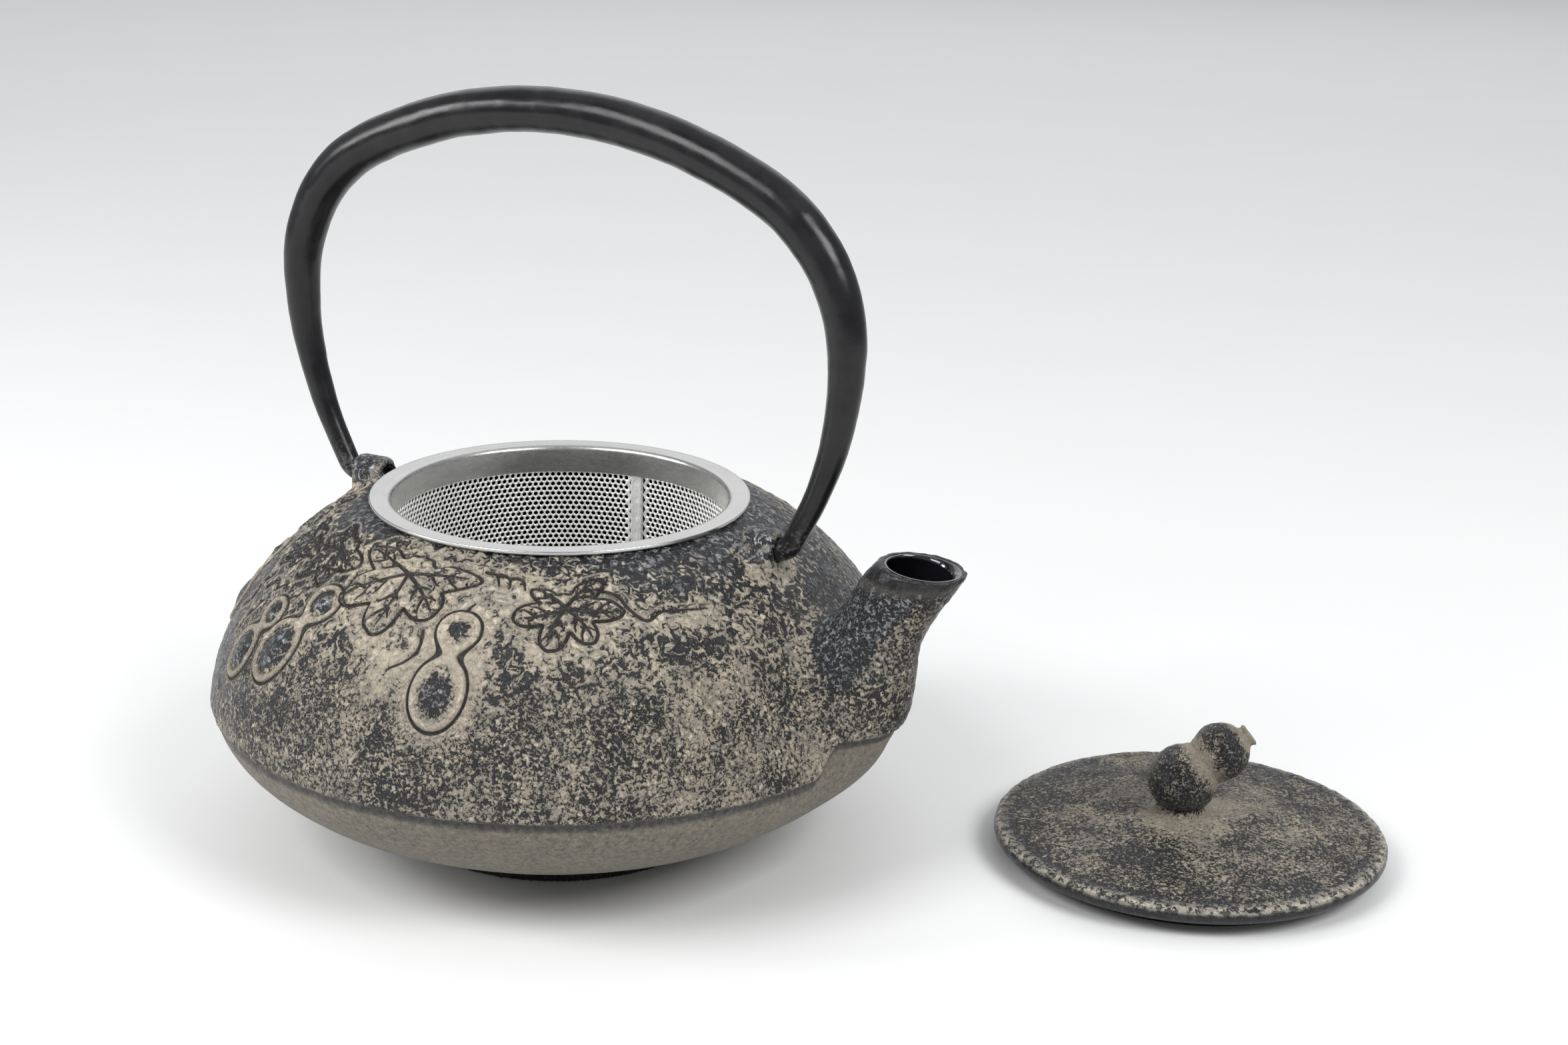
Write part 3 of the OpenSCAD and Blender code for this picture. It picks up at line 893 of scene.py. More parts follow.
def make_rim():
    """Flange turned down over a round edge into the collar, with a fine lip round its outside."""
    round_r = 1.1
    inner = COLLAR_R + round_r
    seat = FLANGE_Z - FLANGE_T
    outline = [
        (COLLAR_R + SHEET_T, seat),
        *arc((FLANGE_R - 0.3, seat + 0.3), 0.3, -90, 0, 4),
        *arc((FLANGE_R - 0.25, FLANGE_Z - 0.25), 0.25, 0, 90, 5),
        (FLANGE_R - 1.0, FLANGE_Z - 0.03),
        (inner + 0.5, FLANGE_Z - 0.02),
        *arc((inner, FLANGE_Z - round_r), round_r, 90, 180, 9),
        *arc((COLLAR_R + 0.1, COLLAR_Z + 0.1), 0.1, 180, 270, 3),
        (COLLAR_R + SHEET_T, COLLAR_Z),
    ]
    rim = revolve("basket_rim", outline, 256)
    soften_edges(rim, 35)
    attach(rim, "infuser")
    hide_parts("infuser_rim")
    return rim


def perforate(spots, keep, thickness, wrap):
    """Sheet with a six-sided hole at each lattice spot where keep is true. wrap(points, depth) bends the
    flat sheet. Webs join neighbouring holes, so no face is wider than the gap between them."""
    rows, columns = keep.shape
    corners = np.radians([0, 60, 120, 180, 240, 300])
    hole = HOLE_R * np.stack([np.sin(corners), np.cos(corners)], 1)
    flat = spots[:, :, None, :] + np.where(keep[:, :, None, None], 1, 0.02) * hole
    count = rows * columns * 6
    front = wrap(flat.reshape(-1, 2), 0.0)
    back = wrap(flat.reshape(-1, 2), thickness)

    def at(r, c, k):
        return (r * columns + c) * 6 + k

    faces = []
    for r, c in np.ndindex(rows, columns):
        if c + 1 < columns:
            faces.append((at(r, c, 1), at(r, c, 2), at(r, c + 1, 4), at(r, c + 1, 5)))
        if r + 1 == rows:
            continue
        left = c if r % 2 else c - 1
        right = left + 1
        if left >= 0:
            faces.append((at(r, c, 5), at(r, c, 0), at(r + 1, left, 2), at(r + 1, left, 3)))
        if right < columns:
            faces.append((at(r, c, 0), at(r, c, 1), at(r + 1, right, 3), at(r + 1, right, 4)))
        if 0 <= left and right < columns:
            faces.append((at(r, c, 0), at(r + 1, right, 4), at(r + 1, left, 2)))
        if c + 1 < columns and right < columns:
            faces.append((at(r, c, 1), at(r, c + 1, 5), at(r + 1, right, 3)))
    walls = []
    for r, c in np.ndindex(rows, columns):
        rim = [at(r, c, k) for k in range(6)]
        if keep[r, c]:
            walls += [(a, b, b + count, a + count) for a, b in zip(rim, rim[1:] + rim[:1])]
        else:
            faces.append(tuple(rim))
    backs = [tuple(i + count for i in reversed(f)) for f in faces]
    return np.concatenate([front, back]), faces + backs + walls


def close_open_edges(obj):
    """Joins the two skins of a sheet round its outer edges."""
    with editing(obj) as shape:
        bmesh.ops.bridge_loops(shape, edges=[e for e in shape.edges if e.is_boundary])
        bmesh.ops.recalc_face_normals(shape, faces=shape.faces)


def lattice(width, height):
    """Places of staggered holes on a flat sheet, in rows."""
    row_gap = HOLE_PITCH * math.sqrt(3) / 2
    columns = int(width / HOLE_PITCH)
    rows = int(height / row_gap)
    c, r = np.meshgrid(np.arange(columns), np.arange(rows))
    spots = np.stack([(c + 0.5 * (r % 2)) * width / columns, r * row_gap], -1)
    return spots, rows, columns


def make_wall():
    """Perforated sheet rolled into a tube, lapped and spot-welded along one seam."""
    middle = WALL_R - SHEET_T / 2
    around = 2 * math.pi * middle
    spots, rows, columns = lattice(around - SEAM_GAP - HOLE_PITCH, WALL_TOP - WALL_FOOT)
    spots = spots.astype(float)
    low = WALL_FOOT + 0.5
    keep = np.ones((rows, columns), bool)
    keep[0] = keep[-1] = False
    keep[:, 0] = keep[:, -1] = False

    def wrap(flat, depth):
        angle = SEAM_ANGLE + (flat[:, 0] + SEAM_GAP / 2 + HOLE_PITCH / 2) / middle
        radius = WALL_R - SHEET_T + depth
        return np.stack([radius * np.cos(angle), radius * np.sin(angle), low + flat[:, 1]], 1)

    verts, faces = perforate(spots, keep, SHEET_T, wrap)
    wall = new_piece("basket_wall", verts, faces)
    close_open_edges(wall)
    add_seam(wall, middle, low, low + spots[-1, 0, 1])
    wall.data.shade_smooth()
    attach(wall, "infuser")
    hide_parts("infuser_wall")
    return wall


def add_seam(wall, middle, low, high):
    """The lap: a plain strip inside and another outside, dimpled where they are welded."""
    strips = []
    inner, outer = (SEAM_GAP / 2 + 0.8) / middle, SEAM_W / 2 / middle
    for radius, thick, half, name in ((WALL_R - SHEET_T, SHEET_T + 0.02, inner, "lap_in"),
                                      (WALL_R, LAP_T, outer, "lap_out")):
        angles = SEAM_ANGLE + np.linspace(-half, half, 15)
        heights = np.linspace(low, high, 121)
        grid_a, grid_z = np.meshgrid(angles, heights)
        welds = bump((grid_a - SEAM_ANGLE) * middle / 0.55) * bump(((grid_z - low) % 4 - 2) / 0.55)
        skins = []
        for r in (radius - 0.02 + 0.16 * welds, radius + thick - 0.12 * welds):
            skins.append(np.stack([r * np.cos(grid_a), r * np.sin(grid_a), grid_z], -1).reshape(-1, 3))
        n = skins[0].shape[0]
        front = grid_faces(121, 15, False)
        rim = [c for c in range(15)] + [r * 15 + 14 for r in range(1, 121)]
        rim += [120 * 15 + c for c in range(13, -1, -1)] + [r * 15 for r in range(119, 0, -1)]
        sides = [(rim[i], rim[(i + 1) % len(rim)], rim[(i + 1) % len(rim)] + n, rim[i] + n)
                 for i in range(len(rim))]
        faces = front + [tuple(i + n for i in reversed(f)) for f in front] + sides
        strips.append(face_outwards(new_piece(name, np.concatenate(skins), faces)))
    join(wall, strips)


def join(first, others):
    """Puts the other meshes into the first one's piece."""
    with editing(first) as shape:
        for obj in others:
            shape.from_mesh(obj.data)
            bpy.data.objects.remove(obj)


def make_base():
    """Perforated disc that closes the basket."""
    radius = WALL_R - SHEET_T - 0.05
    spots, rows, columns = lattice(2 * radius, 2 * radius)
    spots = spots - spots.reshape(-1, 2).mean(0)
    keep = np.linalg.norm(spots, axis=2) < radius - 2.6
    low = BASE_Z + CRIMP_T

    def wrap(flat, depth):
        spread = np.linalg.norm(flat, axis=1)
        scale = np.where(spread > radius, radius / np.maximum(spread, 1e-6), 1)
        return np.stack([flat[:, 0] * scale, flat[:, 1] * scale, np.full(len(flat), low + depth)], 1)

    verts, faces = perforate(spots, keep, SHEET_T, wrap)
    base = new_piece("basket_base", verts, faces)
    close_open_edges(base)
    base.data.shade_flat()
    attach(base, "infuser")
    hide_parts("infuser_base")
    return base


def make_base_ring():
    """Ring crimped round the bottom of the wall."""
    out = WALL_R + CRIMP_T
    outline = [
        (WALL_R - 3, BASE_Z + 0.1), (WALL_R - 2.9, BASE_Z), (WALL_R - 0.2, BASE_Z),
        *arc((out - 0.5, BASE_Z + 0.5), 0.5, -90, 0, 6),
        (out, BASE_Z + 1.5), (out - 0.12, BASE_Z + 1.9), (out - 0.12, BASE_Z + 2.3), (out, BASE_Z + 2.7),
        *arc((out - 0.15, BASE_Z + 3.45), 0.15, 0, 90, 4),
        (WALL_R, BASE_Z + 3.6), (WALL_R, BASE_Z + CRIMP_T), (WALL_R - 3, BASE_Z + CRIMP_T),
    ]
    ring = revolve("basket_base_ring", outline, 192)
    soften_edges(ring, 35)
    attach(ring, "infuser")
    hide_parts("infuser_base_ring")
    return ring


# ---- Lid ----


def dome(r):
    """Height of the lid's top face at the radius r."""
    rim = LID_RING_H + 2 * LID_EDGE_R
    return rim + (LID_TOP - rim) * (1 - (r / LID_R) ** 1.6)


def make_lid():
    rim_r = LID_R - LID_EDGE_R
    under = LID_TOP - LID_PLATE_T
    outline = [(0, under)]
    outline += [(r, dome(r) - LID_PLATE_T) for r in np.arange(2, 28, 2)]
    outline += [
        (LID_RING_R - LID_RING_T, LID_RING_H + 0.4), (LID_RING_R - LID_RING_T, 0.3),
        (LID_RING_R - LID_RING_T + 0.3, 0),
        *arc((LID_RING_R - 0.5, 0.5), 0.5, -90, 0, 5),
        (LID_RING_R, 1.7), (LID_RING_R, LID_RING_H - 0.4), (LID_RING_R + 0.4, LID_RING_H),
    ]
    outline += [(r, LID_RING_H) for r in np.arange(LID_RING_R + 1, rim_r, 0.7)]
    outline += arc((rim_r, LID_RING_H + LID_EDGE_R), LID_EDGE_R, -90, 74, 12)
    outline += [(r, dome(r)) for r in np.arange(rim_r, 0.4, -0.55)]
    outline += [(0, LID_TOP)]
    lid = revolve("lid_casting", outline, 420, (LID_X, LID_Y))
    hole = [((LID_X, LID_Y, z), (STUD_HOLE_R, 0, 0), (0, STUD_HOLE_R, 0)) for z in (-1, 30)]
    combine(lid, tube("stud_hole", hole, 40), "DIFFERENCE")
    verts = verts_of(lid)
    r = np.hypot(verts[:, 0] - LID_X, verts[:, 1] - LID_Y)
    z = verts[:, 2]
    top = smooth((z - LID_RING_H - 1.0) / 1.2) * smooth((r - 2.2) / 2) * (normals_of(lid)[:, 2] > -0.2)
    skin = layers(verts, (1.8, 41, 0.14), (4.6, 42, 0.12))
    sag = lattice_noise(verts, 19, 43) * 0.2
    mound = 0.55 * bump((r - 6) / 3.5)
    push_out(lid, top * (skin + sag + mound))
    # A pale broken line round the top of the lid's rounded edge: partly wear, partly painted highlight.
    edge = bump((z - LID_RING_H - 3.05) / 0.5) * smooth((r - LID_R + 3.4) / 0.8)
    patches = layers(verts, (11, 44, 0.5), (4, 45, 0.3))
    rim = smooth((LID_RING_H + 2.9 - z) / 0.4) * (r > 2.5)
    bare_iron = patches * 0.8 + 0.15 - 1.0 * bump((r - 3) / 9) + 0.4 * smooth((r - 36) / 3)
    paint(lid, "bare_iron", np.clip(bare_iron, -1, 1.5))
    paint(lid, "glint", edge)
    paint(lid, "plain", rim)
    paint(lid, "black", rim)
    soften_edges(lid, 40)
    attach(lid, "lid")
    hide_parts("lid_plate")
    return lid


def gourd_outline():
    """Half outline of the gourd along its own axis, from the lower bulb's foot to the cut stem."""
    def reach(h):
        low = np.sqrt(np.maximum(BULB_R ** 2 - h ** 2, 0))
        top = np.sqrt(np.maximum(UPPER_R ** 2 - (h - BULB_GAP) ** 2, 0))
        return np.maximum(low, top)

    heights = BULB_R * -np.cos(np.linspace(0, math.pi / 2, 22))
    heights = np.concatenate([heights, np.linspace(0.3, BULB_GAP + 5.4, 60)])
    radii = reach(heights) + 0.35 * bump((heights - WAIST_H) / 0.9)
    outline = [(0, -BULB_R), *zip(radii[1:], heights[1:])]
    stem = BULB_GAP + 5.9
    cut_end = [(2.35, 0), (2.2, 0.5), (2.45, 1.1), (2.0, 1.4), (0, 1.2)]
    return outline + [(r, stem + h) for r, h in cut_end]


def make_knob():
    knob = revolve("lid_gourd", gourd_outline(), 96)
    verts = verts_of(knob)
    axial = verts[:, 2].copy()
    stem = smooth((axial - BULB_GAP - 5) / 1.5)
    turn = np.arctan2(verts[:, 1], verts[:, 0])
    spread = 1 + stem * 0.10 * np.cos(3 * turn + 0.6)
    verts[:, :2] *= spread[:, None]
    verts[:, 0] += stem * 0.5
    c, s = math.cos(GOURD_LEAN), math.sin(GOURD_LEAN)
    leaned = np.stack([verts[:, 0] * c + verts[:, 2] * s - BULB_BACK, verts[:, 1],
                       -verts[:, 0] * s + verts[:, 2] * c], 1)
    c, s = math.cos(GOURD_TURN), math.sin(GOURD_TURN)
    bulb_z = LID_TOP + BULB_R + 0.3
    placed = np.stack([LID_X + leaned[:, 0] * c - leaned[:, 1] * s,
                       LID_Y + leaned[:, 0] * s + leaned[:, 1] * c, bulb_z + leaned[:, 2]], 1)
    set_verts(knob, placed)
    face_outwards(knob)
    push_out(knob, layers(verts_of(knob), (1.7, 51, 0.13), (4, 52, 0.12)))
    foot = [((LID_X - BULB_BACK * c, LID_Y - BULB_BACK * s, LID_TOP + h), (r, 0, 0), (0, r, 0))
            for h, r in ((-0.4, 7.0), (0.3, 6.2), (1.0, 5.4), (2.4, 4.9))]
    combine(knob, tube("foot", foot, 64), "UNION")
    verts = verts_of(knob)
    leaned_h = (verts - (LID_X - BULB_BACK * c, LID_Y - BULB_BACK * s, bulb_z)) @ np.array(
        [math.sin(GOURD_LEAN) * c, math.sin(GOURD_LEAN) * s, math.cos(GOURD_LEAN)])
    low = smooth((bulb_z - BULB_R + 2.4 - verts[:, 2]) / 2.5)
    tan = bump((leaned_h - WAIST_H) / 2.2) + smooth((leaned_h - BULB_GAP - 4) / 1.5) + 0.9 * low
    patches = lattice_noise(verts, 4, 53) * 0.5
    paint(knob, "bare_iron", np.clip(0.5 - 1.5 * np.clip(tan, 0, 1) + patches, -1.1, 1.5))
    soften_edges(knob, 45)
    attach(knob, "lid")
    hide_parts("lid_knob")
    return knob


# ---- Materials ----


class Nodes:
    """Short calls for building a material's nodes."""

    def __init__(self, name):
        self.material = bpy.data.materials.new(name)
        self.material.use_nodes = True
        self.tree = self.material.node_tree
        self.shader = self.tree.nodes["Principled BSDF"]
        self.coords = self.add("ShaderNodeTexCoord").outputs["Object"]

    def add(self, kind, inputs=None, **settings):
        node = self.tree.nodes.new(kind)
        for key, value in settings.items():
            setattr(node, key, value)
        for key, value in (inputs or {}).items():
            self.put(node.inputs[key], value)
        return node

    def put(self, socket, value):
        if isinstance(value, bpy.types.NodeSocket):
            self.tree.links.new(value, socket)
        else:
            socket.default_value = value

    def set(self, **values):
        """Sets or links the shader's own inputs, with _ for a space."""
        for key, value in values.items():
            self.put(self.shader.inputs[key.replace("_", " ")], value)

    def noise(self, size, detail=2.0, roughness=0.5, distortion=0.0, coords=None):
        """Noise whose bumps are about size millimetres across."""
        node = self.add("ShaderNodeTexNoise", {
            "Vector": coords or self.coords, "Scale": 1 / (size * MM), "Detail": detail,
            "Roughness": roughness, "Distortion": distortion,
        })
        return node.outputs["Fac"]

    def stretched(self, x=1, y=1, z=1):
        """Object coordinates multiplied along each axis."""
        return self.add("ShaderNodeMapping", {"Vector": self.coords, "Scale": (x, y, z)}).outputs[0]

    def rolled(self):
        """Coordinates of (distance from the pot's axis, turn round it in radians, height)."""
        parts = self.add("ShaderNodeSeparateXYZ", {0: self.coords}).outputs
        flat = self.add("ShaderNodeCombineXYZ", {0: parts[0], 1: parts[1]}).outputs[0]
        reach = self.add("ShaderNodeVectorMath", {0: flat}, operation="LENGTH").outputs["Value"]
        turn = self.math("ARCTAN2", parts[1], parts[0])
        return self.add("ShaderNodeCombineXYZ", {0: reach, 1: turn, 2: parts[2]}).outputs[0]

    def math(self, operation, a, b=0.0):
        return self.add("ShaderNodeMath", {0: a, 1: b}, operation=operation).outputs[0]

    def times(self, a, b):
        return self.math("MULTIPLY", a, b)

    def plus(self, a, b):
        return self.math("ADD", a, b)

    def blend(self, share, a, b):
        """The number a where share is 0 and b where it is 1."""
        return self.add("ShaderNodeMix", {0: share, 2: a, 3: b}).outputs[0]

    def ramp(self, value, low, high, start=0.0, end=1.0):
        """start where value is low, end where it is high, and a smooth step between."""
        return self.add("ShaderNodeMapRange", {
            "Value": value, "From Min": low, "From Max": high, "To Min": start, "To Max": end,
        }, interpolation_type="SMOOTHSTEP").outputs[0]

    def mix(self, share, a, b):
        """Colour a where share is 0 and b where it is 1."""
        node = self.add("ShaderNodeMix", data_type="RGBA")
        self.put(node.inputs[0], share)
        self.put(node.inputs[6], a)
        self.put(node.inputs[7], b)
        return node.outputs[2]

    def painted(self, name):
        """The number that paint() stored under this name."""
        return self.add("ShaderNodeAttribute", attribute_name=name).outputs["Fac"]

    def bump(self, height, depth):
        """Normal from a height of 0 to 1 that stands for depth millimetres."""
        return self.add("ShaderNodeBump", {
            "Height": height, "Distance": depth * MM, "Strength": 1.0,
        }).outputs[0]


def colour(r, g, b):
    return (r, g, b, 1.0)


TAN = colour(0.395, 0.342, 0.262)
PALE_TAN = colour(0.57, 0.50, 0.395)
GREY_TAN = colour(0.225, 0.206, 0.172)
TAUPE = colour(0.125, 0.112, 0.088)
OLIVE = colour(0.105, 0.100, 0.078)
BLACK = colour(0.004, 0.004, 0.005)
SLATE = colour(0.011, 0.012, 0.014)
BURNISHED = colour(0.27, 0.28, 0.30)
PALE_TAUPE = colour(0.195, 0.172, 0.132)
SEAM_SHADE_GREY = colour(0.060, 0.059, 0.061)
CHARCOAL = colour(0.032, 0.032, 0.036)
CUT_BROWN_AND_SHADE = colour(0.018, 0.015, 0.013)
EDGE_WEAR_AND_GLINT = colour(0.50, 0.46, 0.38)
BRUSH_STRETCH = 0.012         # metres that one radian round the axis counts as, in the brushing


def iron_patina(name, worm):
    """Black iron with a tan patina over its rough skin, whose flecks are about worm millimetres wide.
    Where "worn" is high the iron shows, where it is low the patina covers it, and under the flange it is
    painted shade.
    "plain" marks smooth iron, and "black" smooth iron with no patina, partly painted shade on the
    casting's foot."""
    n = Nodes(name)
    bare_iron = n.painted("bare_iron")
    coarse = n.noise(worm, 4.0, 0.64, 1.0)
    fine = n.noise(worm * 0.5, 4.0, 0.66, 0.8)
    grain = n.noise(0.28, 3.0, 0.7)
    wide = n.noise(17, 3, 0.55)
    share = n.plus(n.times(n.painted("coarse"), 0.7), 0.25)
    skin = n.blend(share, fine, coarse)
    lean = n.math("SUBTRACT", n.times(n.math("SUBTRACT", wide, 0.5), 0.16),
                  n.times(bare_iron, 0.15))
    level = n.plus(skin, lean)
    cover = n.ramp(level, 0.475, 0.505)
    tone = n.noise(5.5, 3, 0.6)
    patina = n.mix(n.ramp(tone, 0.36, 0.62), GREY_TAN, TAN)
    rub = n.plus(level, n.times(n.math("SUBTRACT", grain, 0.5), 0.2))
    patina = n.mix(n.ramp(rub, 0.50, 0.66), n.mix(0.35, patina, GREY_TAN), n.mix(0.5, patina, PALE_TAN))
    iron = n.mix(n.ramp(grain, 0.35, 0.7), BLACK, SLATE)
    plain = n.painted("plain")
    bare = n.times(n.ramp(cover, 0, 1, 1, 0), n.ramp(plain, 0, 1, 1, 0))
    shine = n.times(n.ramp(skin, 0.50, 0.60), bare)
    iron = n.mix(shine, iron, BURNISHED)
    skin_colour = n.mix(cover, iron, patina)

    mottle = n.noise(1.1, 4, 0.7)
    belly = n.mix(n.ramp(mottle, 0.36, 0.64), n.mix(n.ramp(wide, 0.38, 0.6), OLIVE, TAUPE), PALE_TAUPE)
    belly = n.mix(n.times(n.ramp(n.noise(0.8, 4, 0.7), 0.55, 0.66), 0.6), belly, SLATE)
    # Painted shade: the dark band in the groove under the parting line's step.
    band = n.mix(n.ramp(mottle, 0.35, 0.7), SLATE, SEAM_SHADE_GREY)
    belly = n.mix(n.times(n.painted("seam"), 0.85), belly, band)
    smooth_black = n.mix(n.ramp(mottle, 0.45, 0.75), BLACK, CHARCOAL)
    black = n.painted("black")
    plain_colour = n.mix(black, belly, smooth_black)
    plain_rough = n.ramp(n.plus(black, n.times(mottle, 0.3)), 0.1, 1.1, 0.55, 0.13)
    base = n.mix(plain, skin_colour, plain_colour)
    rough = n.blend(plain, n.ramp(cover, 0, 1, 0.24, 0.46), plain_rough)

    base = n.mix(n.times(n.ramp(n.painted("crest"), 0.25, 0.8), 0.55), base, PALE_TAN)
    # The cut lines are painted near black: partly the iron's own dark colour, partly painted shade in
    # the grooves.
    cut = n.ramp(n.painted("cut"), 0.22, 0.6)
    base = n.mix(cut, base, CUT_BROWN_AND_SHADE)
    # Pale edges: a painted highlight on the lugs' arches, and partly wear, partly painted highlight
    # round the lid's edge.
    edge = n.times(n.painted("glint"), n.ramp(n.noise(1.7, 4, 0.75), 0.46, 0.54))
    base = n.mix(edge, base, EDGE_WEAR_AND_GLINT)

    swell_share = n.ramp(cover, 0, 1, 0.45, 0.85)
    height = n.plus(n.times(n.ramp(skin, 0.34, 0.66), swell_share),
                    n.times(n.times(grain, cover), 0.2))
    calm = n.times(n.ramp(plain, 0, 1, 1, 0.2), n.ramp(cut, 0, 1, 1, 0.4))
    n.set(Base_Color=base, Roughness=rough, Normal=n.bump(n.times(height, calm), 0.6),
          Metallic=n.times(shine, 0.85), Specular_IOR_Level=0.4)
    return n.material


def black_bar():
    """Satin black iron with a fine grain, rubbed at the hooks."""
    n = Nodes("black_bar")
    grain = n.noise(0.35, 4, 0.7)
    drift = n.noise(7, 3, 0.6)
    base = n.mix(n.ramp(drift, 0.3, 0.7), colour(0.006, 0.006, 0.007), colour(0.012, 0.012, 0.013))
    base = n.mix(n.ramp(grain, 0.66, 0.80), base, colour(0.03, 0.03, 0.032))
    rub = n.times(n.painted("rubbed"), n.ramp(n.noise(1.4, 4, 0.7), 0.48, 0.62))
    base = n.mix(n.times(rub, 0.5), base, colour(0.16, 0.15, 0.14))
    height = n.plus(n.times(grain, 0.6), n.times(n.noise(1.6, 2, 0.5), 0.4))
    n.set(Base_Color=base, Roughness=n.ramp(drift, 0.3, 0.7, 0.16, 0.25), Normal=n.bump(height, 0.035),
          Specular_IOR_Level=0.3)
    return n.material


def black_enamel():
    """Glossy enamel with a slight orange peel."""
    n = Nodes("black_enamel")
    ripple = n.noise(2.6, 2, 0.5)
    specks = n.noise(0.4, 2, 0.6)
    base = n.mix(n.ramp(specks, 0.66, 0.74), colour(0.006, 0.006, 0.008), colour(0.03, 0.03, 0.035))
    n.set(Base_Color=base, Roughness=n.ramp(specks, 0.3, 0.8, 0.05, 0.12), Normal=n.bump(ripple, 0.03),
          Coat_Weight=0.6, Coat_Roughness=0.03)
    return n.material


def steel(name, tint, low, high):
    """Stainless steel brushed round its axis, with its roughness from low to high."""
    n = Nodes(name)
    lines = n.add("ShaderNodeVectorMath", {0: n.rolled(), 1: (1, BRUSH_STRETCH, 1)},
                  operation="MULTIPLY").outputs[0]
    hair = n.noise(0.09, 4, 0.75, coords=lines)
    broad = n.noise(0.8, 3, 0.6, coords=lines)
    smudge = n.noise(9, 3, 0.6)
    shade = n.plus(n.times(hair, 0.6), n.times(broad, 0.4))
    dim = tuple(c * 0.88 for c in tint[:3]) + (1.0,)
    base = n.mix(n.ramp(shade, 0.36, 0.64), dim, tint)
    rough = n.plus(n.ramp(shade, 0.3, 0.7, low, high), n.ramp(smudge, 0.4, 0.7, 0.0, 0.06))
    n.set(Base_Color=base, Metallic=1.0, Roughness=rough, Normal=n.bump(shade, 0.005))
    return n.material


def sheet_steel():
    """Bright rolled sheet round the punched holes."""
    n = Nodes("sheet_steel")
    roll = n.noise(0.5, 3, 0.6, coords=n.stretched(1, 1, 0.15))
    cloud = n.noise(6, 3, 0.6)
    base = n.mix(n.ramp(roll, 0.35, 0.65), colour(0.90, 0.90, 0.88), colour(0.97, 0.97, 0.95))
    rough = n.plus(n.ramp(roll, 0.3, 0.7, 0.20, 0.34), n.ramp(cloud, 0.4, 0.7, 0.0, 0.08))
    n.set(Base_Color=base, Metallic=0.55, Roughness=rough, Normal=n.bump(roll, 0.01))
    return n.material


def dull_steel(name, dark, light):
    """Bare mild steel, peened and oxidised, from dark to light."""
    n = Nodes(name)
    blows = n.add("ShaderNodeTexVoronoi", {"Vector": n.coords, "Scale": 1 / (1.1 * MM)},
                  feature="SMOOTH_F1").outputs["Distance"]
    film = n.noise(1.2, 4, 0.65)
    base = n.mix(n.ramp(film, 0.35, 0.65), dark, light)
    n.set(Base_Color=base, Metallic=1.0, Roughness=n.ramp(film, 0.3, 0.7, 0.3, 0.5),
          Normal=n.bump(blows, 0.08))
    return n.material


def floor_finish():
    n = Nodes("pale_floor")
    grain = n.noise(60, 2, 0.5)
    n.set(Base_Color=n.mix(grain, colour(0.76, 0.76, 0.76), colour(0.78, 0.78, 0.78)), Roughness=0.6,
          Specular_IOR_Level=0.2)
    return n.material


def give(obj, material):
    obj.data.materials.clear()
    obj.data.materials.append(material)


# ---- Scene ----


def area_light(name, place, aim, size, power):
    """A softbox at place, in metres, turned towards aim."""
    light = bpy.data.lights.new(name, "AREA")
    light.shape = "RECTANGLE"
    light.size, light.size_y = size
    light.energy = power
    lamp = bpy.data.objects.new(name, light)
    bpy.context.scene.collection.objects.link(lamp)
    lamp.location = place
    lamp.rotation_euler = (Vector(aim) - Vector(place)).to_track_quat("-Z", "Y").to_euler()


FLOOR_HALF = 4000             # half the width of the floor
SOFTBOXES = [                 # name, place and size in metres, and power in watts
    ("softbox_left", (-0.27, -0.77, 0.81), (0.55, 0.45), 6.9),
    ("strip_left", (-0.69, -0.51, 0.45), (0.22, 0.36), 3.6),
    ("softbox_right", (0.84, -0.22, 0.76), (0.50, 0.45), 7.8),
    ("softbox_back", (-0.6, 1.35, 1.0), (2.2, 1.3), 7.0),
]


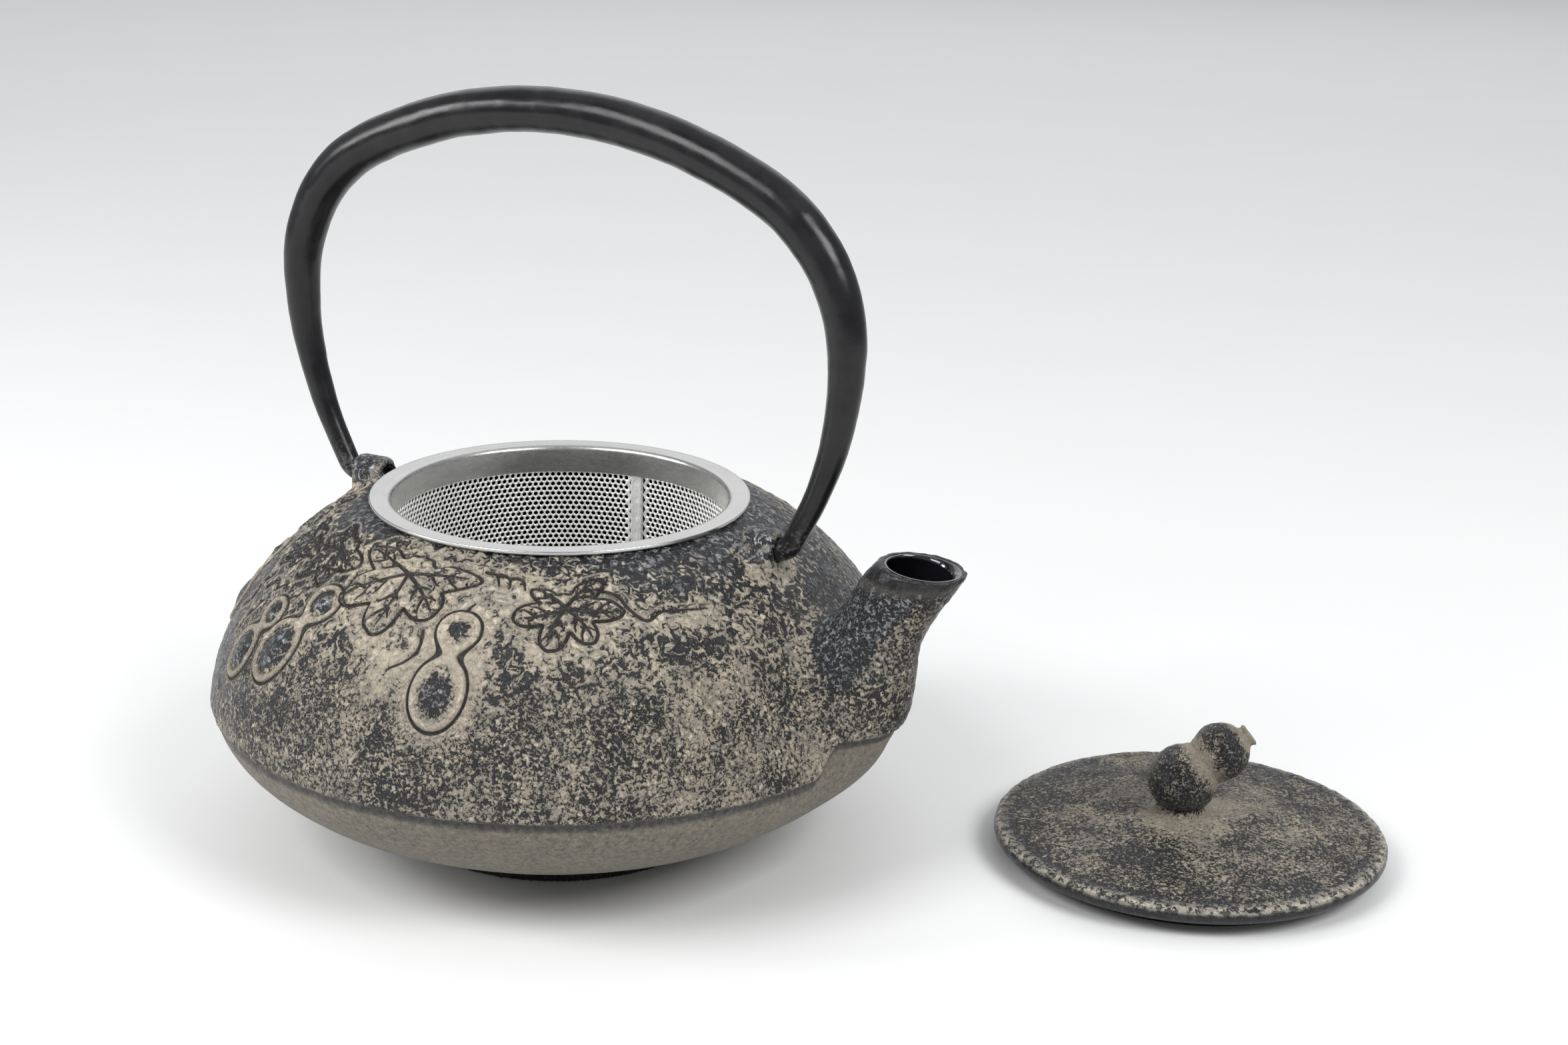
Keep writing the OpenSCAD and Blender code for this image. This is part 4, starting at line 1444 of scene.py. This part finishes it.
def make_studio():
    world = bpy.data.worlds.new("studio")
    world.use_nodes = True
    background = world.node_tree.nodes["Background"]
    background.inputs["Color"].default_value = (0.96, 0.98, 1.0, 1.0)
    background.inputs["Strength"].default_value = 0.42
    bpy.context.scene.world = world
    bpy.context.scene.view_settings.view_transform = "Standard"
    corners = np.array([(-1, -1, 0), (1, -1, 0), (1, 1, 0), (-1, 1, 0)]) * FLOOR_HALF
    floor = new_piece("floor", corners, [(0, 1, 2, 3)], False)
    give(floor, floor_finish())
    for name, place, size, power in SOFTBOXES:
        area_light(name, place, (0.02, 0, 0.04), size, power)
    area_light("softbox_top", (0.2, 0.5, 2.2), (0.1, 0.2, 0), (2.5, 2.5), 6)


def make_camera():
    """The photograph's view: where the camera stands, how it is turned, and how far it zooms in."""
    camera = bpy.data.cameras.new("camera")
    camera.sensor_width = 36
    camera.lens = 59.53
    camera.clip_start = 0.01
    obj = bpy.data.objects.new("camera", camera)
    bpy.context.scene.collection.objects.link(obj)
    yaw, pitch, roll = -0.486466, 0.309517, 0.022541
    level = np.array([math.sin(yaw), math.cos(yaw), 0])
    ahead = level * math.cos(pitch) - np.array([0, 0, math.sin(pitch)])
    right = np.array([math.cos(yaw), -math.sin(yaw), 0])
    up = np.cross(right, ahead)
    x = math.cos(roll) * right + math.sin(roll) * up
    y = -math.sin(roll) * right + math.cos(roll) * up
    place = np.array([285.9, -439.6, 235.4]) * MM
    turned = Matrix([x, y, -ahead]).transposed()
    obj.matrix_world = Matrix.Translation(place) @ turned.to_4x4()
    bpy.context.scene.camera = obj


def main():
    pot_iron = iron_patina("pot_iron", 1.5)
    lid_iron = iron_patina("lid_iron", 1.4)
    knob_iron = iron_patina("knob_iron", 1.0)
    bright = steel("brushed_steel", colour(0.56, 0.56, 0.55), 0.18, 0.30)
    give(make_casting(), pot_iron)
    give(make_enamel(), black_enamel())
    give(make_bail(), black_bar())
    give(make_rim(), bright)
    give(make_wall(), sheet_steel())
    give(make_base(), sheet_steel())
    give(make_base_ring(), bright)
    give(make_lid(), lid_iron)
    give(make_knob(), knob_iron)
    stud_steel = dull_steel("stud_steel", colour(0.20, 0.19, 0.18), colour(0.36, 0.35, 0.33))
    washer_steel = dull_steel("washer_steel", colour(0.40, 0.40, 0.39), colour(0.60, 0.60, 0.58))
    give(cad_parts["knob_stud"], stud_steel)
    give(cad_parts["knob_washer"], washer_steel)
    make_studio()
    make_camera()


main()
